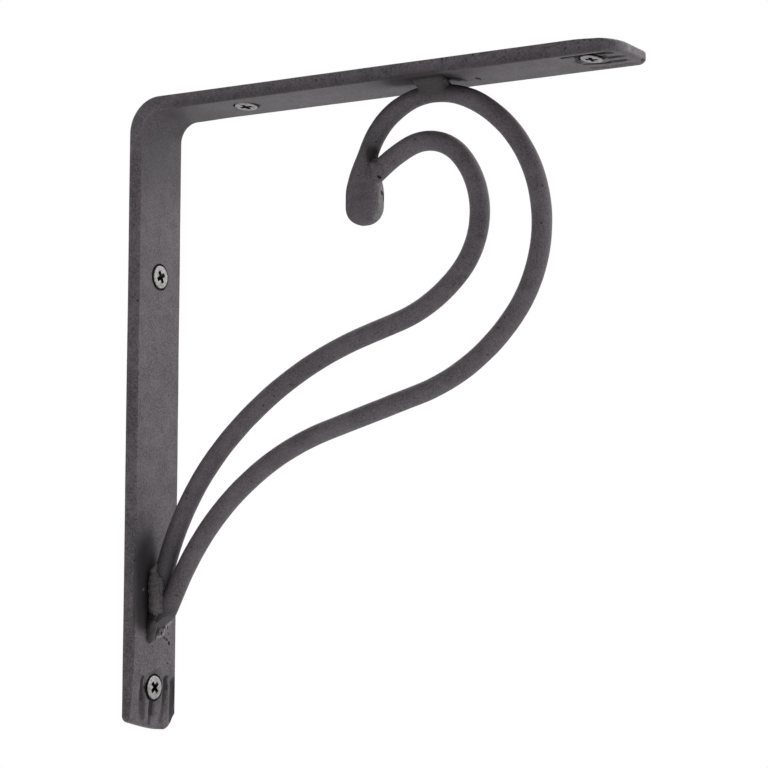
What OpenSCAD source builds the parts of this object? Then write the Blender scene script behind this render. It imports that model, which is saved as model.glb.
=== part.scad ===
// Wall shelf bracket: a flat bar bent to an L, with two scrolled round bars welded under the arm.
//
// Frame: the wall is the plane X = 0 and the bracket stands out along +X. Y runs across the bar and
// Z is up. The origin is on the wall, half way between the two wall screws. The scrolls are bent in
// the plane Y = 0. They are drawn flat, with X to the right and Z up the page, and then stood up.

/* [Flat bar] */
// Width of the flat bar
bar_w = 25; // [22:0.5:30]
// Thickness of the flat bar
bar_t = 5.4; // [4.6:0.1:6.6]
// Radius of the bar's rolled edges
arris_r = 0.7; // [0.5:0.1:1.5]
// Inside radius of the bend
bend_r = 7.4; // [5:0.1:12]
// Height of the shelf's underside above the origin
shelf_h = 140; // [134:0.5:150]
// Length of the leg below the origin
foot_drop = 90; // [87:0.5:100]
// Length of the arm from the wall to its tip
arm_len = 198; // [194:0.5:215]

/* [Hammered ends] */
// Length over which the leg's end is drawn thinner
leg_draw_len = 25; // [18:0.5:30]
// Thickness taken off the leg's face at its end, near and far edge
leg_draw = [2.2, 0];
// Length over which the arm's end is drawn thinner
arm_draw_len = 15; // [8:0.5:24]
// Thickness taken off the arm's top at its end
arm_draw = 1.2; // [0.5:0.1:1.8]
// Height that the leg's end slopes from the near edge to the far edge
leg_slope = 3.5; // [0:0.5:5]
// Size of the corner cut off the leg's end, near and far edge
leg_corner = [1.2, 6];
// Radius of the arm's near corner
arm_near_r = 6; // [3:0.5:9]
// Radius of the arm's far corner
arm_far_r = 4; // [2:0.5:6]
// Places of the leg's grooves across the bar
leg_groove_y = [-6.7, -1.1, 6.1, 11.2];
// Places of the arm's grooves across the bar
arm_groove_y = [-9.2, -2.6, 3, 8.4];
// Radius of the fuller that made the grooves
groove_r = 2.4; // [1.8:0.1:3.5]
// Depth of the grooves
groove_depth = 0.8; // [0.4:0.1:1]
// Length of the leg's grooves
leg_groove_len = 17; // [12:0.5:20]
// Length of the arm's grooves
arm_groove_len = 13; // [8:0.5:16]
// Distance from the leg's grooves to the end of the bar
groove_margin = 3; // [2:0.5:6]

/* [Screws] */
// Distance between the two wall screws
wall_pitch = 150; // [140:0.5:154]
// Distance from the wall to the first shelf screw
shelf_screw_x = 44; // [36:0.5:60]
// Distance between the two shelf screws
shelf_pitch = 140; // [125:0.5:144]
// Side offset of the hand-drilled wall holes
wall_hole_y = -0.2; // [-2:0.1:2]
// Side offsets of the hand-drilled shelf holes, inner and outer
shelf_hole_y = [-1, -4.2];
// Diameter of a screw's head
head_d = 8.4; // [7.8:0.1:9]
// Diameter of a screw's shank
shank_d = 4; // [3.5:0.1:4.5]
// Height of the upright rim of a screw's head
head_rim = 0.4; // [0.2:0.1:0.6]
// Height of a screw's head above the face of the bar
head_stand = 0.4; // [0:0.05:0.6]
// Width of the ring that is ground out round a screw's head
ring_w = 0.7; // [0.3:0.1:1.2]
// Depth of that ring
ring_depth = 0.5; // [0.2:0.1:1]
// Width of the cross recess
recess_w = 4.7; // [3.6:0.1:5.2]
// Width of one slot of the cross recess
slot_w = 1.3; // [0.9:0.1:1.5]
// Depth of the cross recess
recess_depth = 1.7; // [1:0.1:2.1]
// Turn of each cross recess: upper and lower wall screw, inner and outer shelf screw
recess_turn = [30, 42, 82, 88];
// Gap between a screw's cone and its countersink
seat_gap = 0.1; // [0.05:0.05:0.3]
// Gap between a shank and its hole
hole_gap = 0.2; // [0.1:0.05:0.4]
// Material left between a screw's tip and the far face
tip_cover = 0.5; // [0.3:0.1:1]

/* [Scroll rods] */
// Diameter of the round bar
rod_d = 7; // [6:0.1:8]
// Distance from the wall to the outer scroll's crown
crown_x = 121.5; // [115:0.5:128]
// Outer scroll, crown to foot: radius and turn of the shoulder
shoulder = [35, 32];
// Radius and turn of its front
front = [50.5, 97];
// Radius and turn of its belly
belly = [73, 34.5];
// Length of its straight run
outer_run = 39; // [34:0.5:44]
// Radius and turn of its sweep down to the foot
outer_sweep = [104, 46.5];
// Radius of the curl from the crown down to the paddle
curl_r = 27.5; // [25:0.5:30]
// Distance from the curl's quarter point down to the paddle's centre
paddle_drop = 9.5; // [6:0.5:12]
// Width of the paddle
paddle_w = 13.8; // [10:0.1:16]
// Thickness of the paddle
paddle_t = 5.5; // [4:0.1:6]
// Height of the inner scroll's joint above the paddle's centre
joint_rise = 7; // [5:0.5:9]
// Direction in which the inner scroll leaves the neck, in degrees
joint_turn = 41; // [37:0.5:45]
// Inner scroll, neck to foot: length of its straight start
inner_start = 6; // [4:0.5:8]
// Radius and turn of its rise
inner_rise = [50, 18];
// Radius and turn of its crown
inner_crown = [18, 71];
// Radius and turn of its front
inner_front = [30.5, 85];
// Radius and turn of its belly
inner_belly = [55, 30];
// Length of its straight run
inner_run = 14; // [10:0.5:18]
// Radius and turn of its first sweep
inner_sweep = [140, 28];
// Radius and turn of its sweep down to the foot
inner_foot = [105, 27];

/* [Welds] */
// Length over which the crown weld's beads are laid
crown_weld_len = 4.4; // [2:0.2:8]
// Radius of the crown weld's beads
crown_bead_r = 4.2; // [3.8:0.1:5]
// Length over which the foot weld's beads are laid
foot_weld_len = 23; // [18:0.5:26]
// Radius of the foot weld's beads
foot_bead_r = 2.9; // [2.6:0.1:3.4]
// Radius of the curl weld
curl_bead_r = 4.4; // [4.2:0.1:5]

/* [Hidden] */
$fn = 64;

NEAR = 0; // index of the near edge, at -Y
FAR = 1; // index of the far edge, at +Y
RADIUS = 0;
TURN = 1;
iron = "#4b474a";
weld_iron = "#413d40";
steel = "#a3a2a0";

rod_r = rod_d / 2;
bend_out = bend_r + bar_t; // outside radius of the bend
arm_under = shelf_h - bar_t; // height of the arm's underside
fit = 0.1; // rods lie this close under the arm
swell = 0.05; // a rod is this much fuller where two of its stages meet
slack = 0.2; // stages stop this far short of the place where they meet
past = 1; // how far a cutter runs past what it cuts
hull_fn = 32;

// A bent rod is a list of stages. A stage is [radius, turn], anticlockwise when the turn is
// positive, or [0, length] for a straight stage. A pose is [x, z, direction].
crown = [crown_x, arm_under - fit - rod_r];
paddle_c = [crown.x - curl_r, crown.y - curl_r - paddle_drop];
neck_turn = 70; // part of the quarter curl that is still round bar

outer_start = [crown.x, crown.y, 0];
outer_stages = [[shoulder[RADIUS], -shoulder[TURN]], [front[RADIUS], -front[TURN]],
                [belly[RADIUS], -belly[TURN]], [0, outer_run], outer_sweep];
curl_start = [crown.x, crown.y, 180];
curl_stages = [[curl_r, neck_turn]];
inner_origin = [paddle_c.x, paddle_c.y + joint_rise, joint_turn];
inner_stages = [[0, inner_start], [inner_rise[RADIUS], -inner_rise[TURN]],
                [inner_crown[RADIUS], -inner_crown[TURN]], [inner_front[RADIUS], -inner_front[TURN]],
                [inner_belly[RADIUS], -inner_belly[TURN]], [0, inner_run], inner_sweep, inner_foot];

outer_end = pose_after(outer_start, outer_stages, len(outer_stages));
inner_end = pose_after(inner_origin, inner_stages, len(inner_stages));
neck = pose_after(curl_start, curl_stages, len(curl_stages));

// Straight tails run on through the face of the leg, which trims them.
function tail_to_leg(pose) = [0, (pose.x - bar_t) / -cos(pose[2]) + rod_d];
outer_all = concat(outer_stages, [tail_to_leg(outer_end)]);
inner_all = concat(inner_stages, [tail_to_leg(inner_end)]);
foot_z = outer_end.y + (bar_t - outer_end.x) * tan(outer_end[2]); // the outer rod meets the leg

function pose_after(pose, stages, count) =
    count == 0 ? pose : step(pose_after(pose, stages, count - 1), stages[count - 1]);

function step(pose, stage) =
    let (a = pose[2])
    stage[RADIUS] == 0
        ? [pose.x + stage[1] * cos(a), pose.y + stage[1] * sin(a), a]
        : let (c = arc_centre(pose, stage), side = sign(stage[TURN]), b = a + stage[TURN])
          [c.x + side * stage[RADIUS] * sin(b), c.y - side * stage[RADIUS] * cos(b), b];

function arc_centre(pose, stage) =
    let (side = sign(stage[TURN]), r = stage[RADIUS])
    [pose.x - side * r * sin(pose[2]), pose.y + side * r * cos(pose[2])];

// ---- Flat bar ----

// Cross-section of the bar: thickness along X from 0, width along Y about 0
module bar_section() {
    x = bar_t - arris_r;
    y = bar_w / 2 - arris_r;
    translate([0, -y]) square([bar_t, 2 * y]);
    translate([arris_r, -bar_w / 2]) square([bar_t - 2 * arris_r, bar_w]);
    for (px = [arris_r, x], py = [-y, y]) translate([px, py]) circle(r = arris_r);
}

module leg() {
    translate([0, 0, -foot_drop])
        linear_extrude(foot_drop + shelf_h - bend_out)
            bar_section();
}

module arm() {
    translate([bend_out, 0, shelf_h])
        rotate([0, 90, 0])
            linear_extrude(arm_len - bend_out)
                bar_section();
}

module bend() {
    translate([bend_out, 0, shelf_h - bend_out])
        rotate([90, 0, 0])
            rotate(90)
                rotate_extrude(angle = 90)
                    translate([bend_out, 0]) mirror([1, 0]) bar_section();
}

// What is cut off the face of the leg to draw it thinner, more at the near edge
lean_z = leg_draw[NEAR] / leg_draw_len;
lean_y = (leg_draw[NEAR] - leg_draw[FAR]) / bar_w;
module leg_draw_cut() {
    across = -atan(lean_y);
    translate([bar_t, -bar_w / 2, leg_draw_len - foot_drop])
        rotate([0, atan(lean_z * cos(across)), across])
            translate([0, -2 * bar_w, -2 * bar_w]) cube([bar_t, 4 * bar_w, 4 * bar_w]);
}

module arm_draw_cut() {
    translate([arm_len - arm_draw_len, 0, shelf_h])
        rotate([0, atan(arm_draw / arm_draw_len), 0])
            translate([0, -bar_w, 0]) cube([2 * arm_draw_len, 2 * bar_w, bar_t]);
}

corner_bow = [[0.04, 0.75], [0.26, 0.36]]; // the large corner bows out through these shares of it

// Outline of the leg's end, seen from the room: sloped, with a small and a large corner cut off
module leg_end_cut() {
    half = bar_w / 2;
    low = -foot_drop;
    far_in = leg_corner[FAR];
    near_in = leg_corner[NEAR];
    translate([-past, 0, 0])
        rotate([90, 0, 90])
            linear_extrude(bar_t + 2 * past)
                polygon([[-half - past, low - past], [half + past, low - past],
                         [half + past, low + far_in + past], [half, low + far_in],
                         for (bow = corner_bow) [half - bow.x * far_in, low + bow.y * far_in],
                         [half - far_in, low], [near_in - half, low + leg_slope],
                         [-half, low + leg_slope + near_in],
                         [-half - past, low + leg_slope + near_in + past]]);
}

module corner_cut(r) {
    difference() {
        translate([0, 0, -past]) cube([r + past, r + past, bar_t + 2 * past]);
        translate([0, 0, -2 * past]) cylinder(r = r, h = bar_t + 4 * past);
    }
}

module arm_end_cut() {
    translate([arm_len - arm_far_r, bar_w / 2 - arm_far_r, arm_under]) corner_cut(arm_far_r);
    translate([arm_len - arm_near_r, arm_near_r - bar_w / 2, arm_under])
        mirror([0, 1, 0]) corner_cut(arm_near_r);
}

groove_run = 0.92; // share of its length after which a groove has run out

// One groove of the fuller along +Z in the face X = 0, running out at its top
module groove(length) {
    rotate([0, atan(groove_depth / length / groove_run), 0])
        translate([groove_r - groove_depth, 0, 0])
            cylinder(r = groove_r, h = length);
}

module leg_grooves() {
    z = groove_margin - foot_drop;
    for (y = leg_groove_y)
        translate([leg_face(y, z + leg_groove_len), y, z + leg_groove_len])
            mirror([0, 0, 1]) rotate([0, -groove_lean(y, z), 0]) groove(leg_groove_len);
}

// How far the drawn face leans along a groove that starts at the place y, z
function groove_lean(y, z) =
    atan((leg_face(y, z + leg_groove_len) - leg_face(y, z)) / leg_groove_len);

module arm_grooves() {
    for (y = arm_groove_y)
        translate([arm_len - arm_groove_len, y, arm_under])
            rotate([0, 90, 0]) groove(arm_groove_len);
}

// How far out the leg's face lies at the place y, z
function leg_face(y, z) =
    bar_t - max(0, lean_z * (leg_draw_len - foot_drop - z) - lean_y * (y + bar_w / 2));

module angle_bar() {
    color(iron)
        difference() {
            union() {
                leg();
                bend();
                arm();
            }
            leg_draw_cut();
            arm_draw_cut();
            leg_end_cut();
            arm_end_cut();
            leg_grooves();
            arm_grooves();
            for (i = [0, 1]) {
                at_wall_screw(i) countersunk_hole();
                at_shelf_screw(i) countersunk_hole();
            }
        }
}

// ---- Screws ----

shank_len = bar_t - tip_cover + head_stand;
cone_len = (head_d - shank_d) / 2;

// Places a screw's own frame: +Z out of the face, with the origin in the face
module at_wall_screw(i) {
    translate([wall_screw_face(i), wall_hole_y, wall_screw_z(i)]) rotate([0, 90, 0]) children();
}
function wall_screw_z(i) = (0.5 - i) * wall_pitch;
function wall_screw_face(i) = leg_face(wall_hole_y, wall_screw_z(i));

module at_shelf_screw(i) {
    translate([shelf_screw_x + i * shelf_pitch, shelf_hole_y[i], arm_under])
        rotate([180, 0, 0]) children();
}

module countersunk_hole() {
    cone_r = head_d / 2 + seat_gap + head_rim - head_stand;
    translate([0, 0, -2 * bar_t]) cylinder(r = shank_d / 2 + hole_gap, h = 3 * bar_t);
    translate([0, 0, -cone_r]) cylinder(r1 = 0, r2 = cone_r + past, h = cone_r + past);
    translate([0, 0, -ring_depth]) cylinder(r = head_d / 2 + ring_w, h = ring_depth + past);
}

module screw(turn, cover) {
    color(steel)
        translate([0, 0, head_stand])
            difference() {
                union() {
                    translate([0, 0, -head_rim]) cylinder(d = head_d, h = head_rim);
                    translate([0, 0, -head_rim - cone_len])
                        cylinder(d1 = shank_d, d2 = head_d, h = cone_len);
                    translate([0, 0, -cover]) cylinder(d = shank_d, h = cover - head_rim);
                }
                rotate(turn) cross_recess();
            }
}

module cross_recess() {
    translate([0, 0, -recess_depth])
        intersection() {
            union() {
                for (a = [0, 90])
                    rotate(a)
                        translate([-recess_w / 2, -slot_w / 2, 0])
                            cube([recess_w, slot_w, recess_depth + past]);
            }
            cylinder(d1 = recess_w / 2, d2 = recess_w + past, h = recess_depth + past);
        }
}

module wall_screws() {
    for (i = [0, 1])
        at_wall_screw(i) screw(recess_turn[i], shank_len - (bar_t - wall_screw_face(i)));
}

module shelf_screws() {
    for (i = [0, 1]) at_shelf_screw(i) screw(recess_turn[2 + i], shank_len);
}

// ---- Scroll rods ----

// Stands a drawing up: its x stays X, its y becomes Z
module stood_up() {
    rotate([90, 0, 0]) children();
}

// One stage of a rod, a little short at both ends
module rod_stage(pose, stage) {
    if (stage[RADIUS] == 0) {
        translate([pose.x, pose.y])
            rotate([0, 90, pose[2]])
                translate([0, 0, slack]) cylinder(r = rod_r, h = stage[1] - 2 * slack);
    } else {
        short = slack / stage[RADIUS] * 180 / PI;
        first = stage[TURN] > 0 ? pose[2] - 90 : pose[2] + 90 + stage[TURN];
        translate(arc_centre(pose, stage))
            rotate(first + short)
                rotate_extrude(angle = abs(stage[TURN]) - 2 * short)
                    translate([stage[RADIUS], 0]) circle(r = rod_r);
    }
}

// The slightly full place where two stages meet
module knuckle(pose) {
    translate([pose.x, pose.y]) rotate([0, 90, pose[2]]) sphere(r = rod_r + swell);
}

// Stages first to last of a rod, and the knuckles between them
module bent_rod(start, stages, first = 0, last = undef) {
    end = is_undef(last) ? len(stages) - 1 : last;
    for (i = [first:end]) {
        pose = pose_after(start, stages, i);
        rod_stage(pose, stages[i]);
        if (i > first) knuckle(pose);
    }
}

// The end of the curl, hammered flat and wide
module paddle() {
    edge = (paddle_t - paddle_edge) / 2;
    full_up = paddle_c.y + paddle_w / 2;
    neck_in = pose_after(curl_start, curl_stages, 1);
    hull() {
        translate([neck_in.x, neck_in.y])
            rotate([0, 90, neck_in[2]])
                translate([0, 0, -2 * slack]) cylinder(r = rod_r + 2 * swell, h = slack, $fn = hull_fn);
        for (z = [paddle_c.y, full_up], e = [0, edge])
            translate([paddle_c.x, z])
                cylinder(r = paddle_w / 2 - edge + e, h = paddle_t - 2 * e, center = true,
                         $fn = hull_fn);
    }
}
paddle_edge = 2.6; // thickness of the paddle's rim

// Everything behind the face of the leg
module leg_side() {
    translate([-bar_w, -bar_w, -foot_drop - bar_w])
        cube([bar_w + bar_t, 2 * bar_w, 2 * bar_w + foot_drop + shelf_h]);
}

// The bevel ground under the foot of the outer rod
foot_bevel = 52;
foot_tip_drop = 1.6; // from the rod's centre line on the leg down to its ground tip
module foot_bevel_cut() {
    translate([bar_t, 0, foot_z - foot_tip_drop])
        rotate([0, -foot_bevel, 0])
            translate([-4 * rod_d, -rod_d, -4 * rod_d]) cube([12 * rod_d, 2 * rod_d, 4 * rod_d]);
}

module curl_rod() {
    bent_rod(curl_start, curl_stages);
    paddle();
}

module outer_scroll_rod() {
    color(iron)
        difference() {
            stood_up() {
                bent_rod(outer_start, outer_all);
                knuckle(outer_start);
                curl_rod();
            }
            leg_side();
            foot_bevel_cut();
        }
}

module inner_scroll_rod() {
    color(iron)
        difference() {
            stood_up() bent_rod(inner_origin, inner_all);
            leg_side();
            stood_up() {
                paddle();
                bent_rod(outer_start, outer_all, len(outer_all) - 2);
            }
        }
}

// ---- Welds ----

// The last, straight stage of a rod on its own
module tail(start, stages) {
    last = len(stages) - 1;
    rod_stage(pose_after(start, stages, last), stages[last]);
}

// Everything on the far side of the rods, where no weld is laid
module far_side() {
    translate([-bar_w, -0.5, -foot_drop]) cube([arm_len + bar_w, bar_w, foot_drop + shelf_h]);
}

crown_beads = 3;
module crown_weld() {
    color(weld_iron)
        difference() {
            for (i = [0:crown_beads - 1])
                translate([crown.x + crown_weld_len * (i / (crown_beads - 1) - 0.35),
                           -rod_r - 0.7, arm_under - 1])
                    sphere(r = crown_bead_r);
            translate([crown.x - bar_w, -bar_w, arm_under]) cube([2 * bar_w, 2 * bar_w, bar_t]);
            stood_up() {
                bent_rod(outer_start, outer_all, 0, 0);
                knuckle(outer_start);
                bent_rod(curl_start, curl_stages);
            }
        }
}

// Beads from the top down, that grow smaller below
foot_beads = 8;
module foot_weld() {
    color(weld_iron)
        difference() {
            for (i = [0:foot_beads - 1]) {
                down = i / (foot_beads - 1);
                small = max(0, down - 0.6);
                translate([bar_t + 2 - 2 * small, -rod_r - 0.8 + small + 0.4 * (i % 2),
                           foot_z + 0.4 + foot_weld_len * (1 - down)])
                    rotate([0, 90, 0]) sphere(r = foot_bead_r * (1 - small));
            }
            leg_side();
            far_side();
            stood_up() {
                tail(outer_start, outer_all);
                tail(inner_origin, inner_all);
            }
        }
}

curl_bead_at = [4, -0.7, 4.5]; // from the inner scroll's joint
module curl_weld() {
    color(weld_iron)
        difference() {
            translate([inner_origin.x, 0, inner_origin.y] + curl_bead_at) sphere(r = curl_bead_r);
            far_side();
            stood_up() {
                paddle();
                bent_rod(inner_origin, inner_all, 0, 1);
            }
        }
}

angle_bar();
outer_scroll_rod();
inner_scroll_rod();
crown_weld();
foot_weld();
curl_weld();
wall_screws();
shelf_screws();
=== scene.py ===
"""Dresses the wall shelf bracket: a flat iron bar bent to an L, the two scrolled rods that
brace it, the welds that hold them, and the countersunk screws.

Sizes in the classes are in millimetres in the part's own frame: X away from the wall, Y across
the bar and Z up. Meshes are built in metres.
"""

import logging
import math
from dataclasses import dataclass, replace
from enum import Enum
from typing import Callable, Sequence

import bmesh
import bpy
import numpy as np
from mathutils import Matrix, Vector, noise


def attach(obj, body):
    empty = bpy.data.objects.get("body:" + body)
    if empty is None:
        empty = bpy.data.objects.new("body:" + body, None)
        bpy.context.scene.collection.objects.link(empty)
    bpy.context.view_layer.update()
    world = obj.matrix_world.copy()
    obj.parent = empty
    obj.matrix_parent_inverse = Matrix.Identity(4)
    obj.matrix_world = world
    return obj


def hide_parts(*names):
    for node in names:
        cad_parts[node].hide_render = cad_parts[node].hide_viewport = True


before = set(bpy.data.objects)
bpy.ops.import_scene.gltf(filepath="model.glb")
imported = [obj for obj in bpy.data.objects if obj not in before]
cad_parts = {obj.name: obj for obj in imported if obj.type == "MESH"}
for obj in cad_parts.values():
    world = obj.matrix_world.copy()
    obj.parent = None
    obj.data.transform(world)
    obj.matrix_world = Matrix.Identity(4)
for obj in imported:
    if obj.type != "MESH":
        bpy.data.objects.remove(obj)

logging.basicConfig(level=logging.INFO, format="%(name)s: %(message)s")
LOG = logging.getLogger("bracket")
MM = 0.001
BODY = "root"
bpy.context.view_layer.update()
FAR = 1000.0

Colour = tuple[float, float, float]
Point = tuple[float, float, float]


class Slot(Enum):
    """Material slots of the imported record."""

    IRON = "iron"
    WELD = "weld_iron"
    SCREW = "screw_steel"


# ---- Node trees ----


class Signal:
    """A number socket of a node tree that takes part in Python arithmetic."""

    def __init__(self, graph: "Graph", socket: bpy.types.NodeSocket) -> None:
        """Wraps one output socket of the graph's tree."""
        self.graph = graph
        self.socket = socket

    def _math(self, operation: str, *values: "Signal | float") -> "Signal":
        """Adds one Math node.

        Args:
            operation: The Math node's operation.
            values: Its inputs in order.

        Returns:
            The result as a signal.
        """
        node = self.graph.add("ShaderNodeMath", {"operation": operation}, dict(enumerate(values)))
        return Signal(self.graph, node.outputs[0])

    def __add__(self, other: "Signal | float") -> "Signal":
        """Returns self + other."""
        return self._math("ADD", self, other)

    __radd__ = __add__

    def __sub__(self, other: "Signal | float") -> "Signal":
        """Returns self - other."""
        return self._math("SUBTRACT", self, other)

    def __rsub__(self, other: float) -> "Signal":
        """Returns other - self."""
        return self._math("SUBTRACT", other, self)

    def __mul__(self, other: "Signal | float") -> "Signal":
        """Returns self * other."""
        return self._math("MULTIPLY", self, other)

    __rmul__ = __mul__

    def __truediv__(self, other: "Signal | float") -> "Signal":
        """Returns self / other."""
        return self._math("DIVIDE", self, other)

    def __pow__(self, other: "Signal | float") -> "Signal":
        """Returns self raised to other."""
        return self._math("POWER", self, other)

    def size(self) -> "Signal":
        """Returns the absolute value."""
        return self._math("ABSOLUTE", self)

    def sign(self) -> "Signal":
        """Returns -1, 0 or 1."""
        return self._math("SIGN", self)

    def most(self, other: "Signal | float") -> "Signal":
        """Returns the larger of self and other."""
        return self._math("MAXIMUM", self, other)

    def ramp(self, low: float, high: float) -> "Signal":
        """Adds a smooth step.

        Args:
            low: Where it is 0. It falls where low is above high.
            high: Where it is 1.

        Returns:
            The step as a signal.
        """
        node = self.graph.add(
            "ShaderNodeMapRange",
            {"interpolation_type": "SMOOTHSTEP", "clamp": True},
            {"Value": self, "From Min": low, "From Max": high},
        )
        return Signal(self.graph, node.outputs["Result"])


class Graph:
    """Builds one node tree."""

    def __init__(self, tree: bpy.types.NodeTree) -> None:
        """Starts from an empty tree."""
        self.tree = tree
        self.tree.nodes.clear()

    def add(
        self,
        kind: str,
        settings: dict[str, object] | None = None,
        inputs: dict[str | int, object] | None = None,
    ) -> bpy.types.Node:
        """Adds a node.

        Args:
            kind: The node's type.
            settings: Properties set first. A ramp's stops are given as "stops".
            inputs: A value, socket or signal for each input, by name or index.

        Returns:
            The node.
        """
        node = self.tree.nodes.new(kind)
        for name, value in (settings or {}).items():
            if name == "stops":
                self._set_stops(node, value)
            else:
                setattr(node, name, value)
        for key, value in (inputs or {}).items():
            self.feed(node, key, value)
        return node

    def feed(self, node: bpy.types.Node, key: str | int, value: object) -> None:
        """Sets or links one input of a node.

        Args:
            node: The node.
            key: The input's name or index.
            value: A plain value, a socket or a signal.
        """
        target = node.inputs[key]
        source = value.socket if isinstance(value, Signal) else value
        if isinstance(source, bpy.types.NodeSocket):
            self.tree.links.new(source, target)
        else:
            target.default_value = source

    @staticmethod
    def _set_stops(node: bpy.types.Node, stops: Sequence[tuple[float, Colour]]) -> None:
        """Sets a colour ramp's stops.

        Args:
            node: The ramp node.
            stops: Positions with their colours.
        """
        ramp = node.color_ramp
        while len(ramp.elements) < len(stops):
            ramp.elements.new(1.0)
        for element, (position, colour) in zip(ramp.elements, stops):
            element.position = position
            element.color = (*colour, 1.0)

    def signal(self, node: bpy.types.Node, output: str | int = 0) -> Signal:
        """Returns one output of a node as a signal."""
        return Signal(self, node.outputs[output])

    def vector(self, operation: str, *values: object, output: str | int = 0) -> object:
        """Adds one Vector Math node.

        Args:
            operation: The node's operation.
            values: Its inputs in order.
            output: Which output is wanted.

        Returns:
            The output socket.
        """
        node = self.add("ShaderNodeVectorMath", {"operation": operation}, dict(enumerate(values)))
        return node.outputs[output]

    def mix(self, factor: Signal | float, low: object, high: object) -> bpy.types.NodeSocket:
        """Mixes two colours.

        Args:
            factor: 0 gives low and 1 gives high.
            low: A colour or a colour socket.
            high: A colour or a colour socket.

        Returns:
            The mixed colour.
        """
        node = self.add("ShaderNodeMix", {"data_type": "RGBA", "clamp_factor": True})
        self.feed(node, 0, factor)
        for index, value in ((6, low), (7, high)):
            self.feed(node, index, (*value, 1.0) if isinstance(value, tuple) else value)
        return node.outputs[2]

    def noise(self, place: object, scale: float, detail: float) -> Signal:
        """Returns a noise of that scale."""
        inputs = {"Vector": place, "Scale": scale, "Detail": detail}
        return self.signal(self.add("ShaderNodeTexNoise", {}, inputs), "Fac")

    def painted(self, name: str) -> Signal:
        """Returns a value that is stored on the piece."""
        return self.signal(self.add("ShaderNodeAttribute", {"attribute_name": name}), "Fac")

    def stored(self, name: str, kind: str = "FLOAT") -> bpy.types.NodeSocket:
        """Returns a stored attribute in a geometry tree."""
        node = self.add("GeometryNodeInputNamedAttribute", {"data_type": kind}, {"Name": name})
        return node.outputs["Attribute"]

    def scaled(self, vector: object, factor: Signal) -> bpy.types.NodeSocket:
        """Returns a vector times a number."""
        settings = {"operation": "SCALE"}
        return self.add("ShaderNodeVectorMath", settings, {0: vector, "Scale": factor}).outputs[0]

    def bump(self, strength: float, height: Signal) -> bpy.types.NodeSocket:
        """Returns the normal of a surface with that height in millimetres."""
        inputs = {"Strength": strength, "Distance": MM, "Height": height}
        return self.add("ShaderNodeBump", {}, inputs).outputs["Normal"]

    def principled(self, **inputs: object) -> bpy.types.NodeSocket:
        """Returns a Principled shader. An input's name has _ for each space."""
        named = {name.replace("_", " "): value for name, value in inputs.items()}
        return self.add("ShaderNodeBsdfPrincipled", {}, named).outputs["BSDF"]


# ---- Finishes ----


def blank_material(name: str) -> tuple[bpy.types.Material, Graph]:
    """Returns a new material with an empty graph."""
    material = bpy.data.materials.new(name)
    material.use_nodes = True
    return material, Graph(material.node_tree)


def shade(colour: Colour, share: float) -> Colour:
    """Returns a colour times a number."""
    return tuple(share * part for part in colour)


@dataclass(frozen=True)
class GroundScale:
    """Sizes of the patterns in a finish, in features a metre."""

    cloud: float = 38.0
    streak: float = 160.0
    grain: float = 1800.0
    pit: float = 430.0


@dataclass(frozen=True)
class Mark:
    """A mark on the iron: pits and painted shadows are dark, scratches and painted highlights
    light.
    """

    place: Point
    half: Point
    dark: bool = True
    strength: float = 0.9


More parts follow.
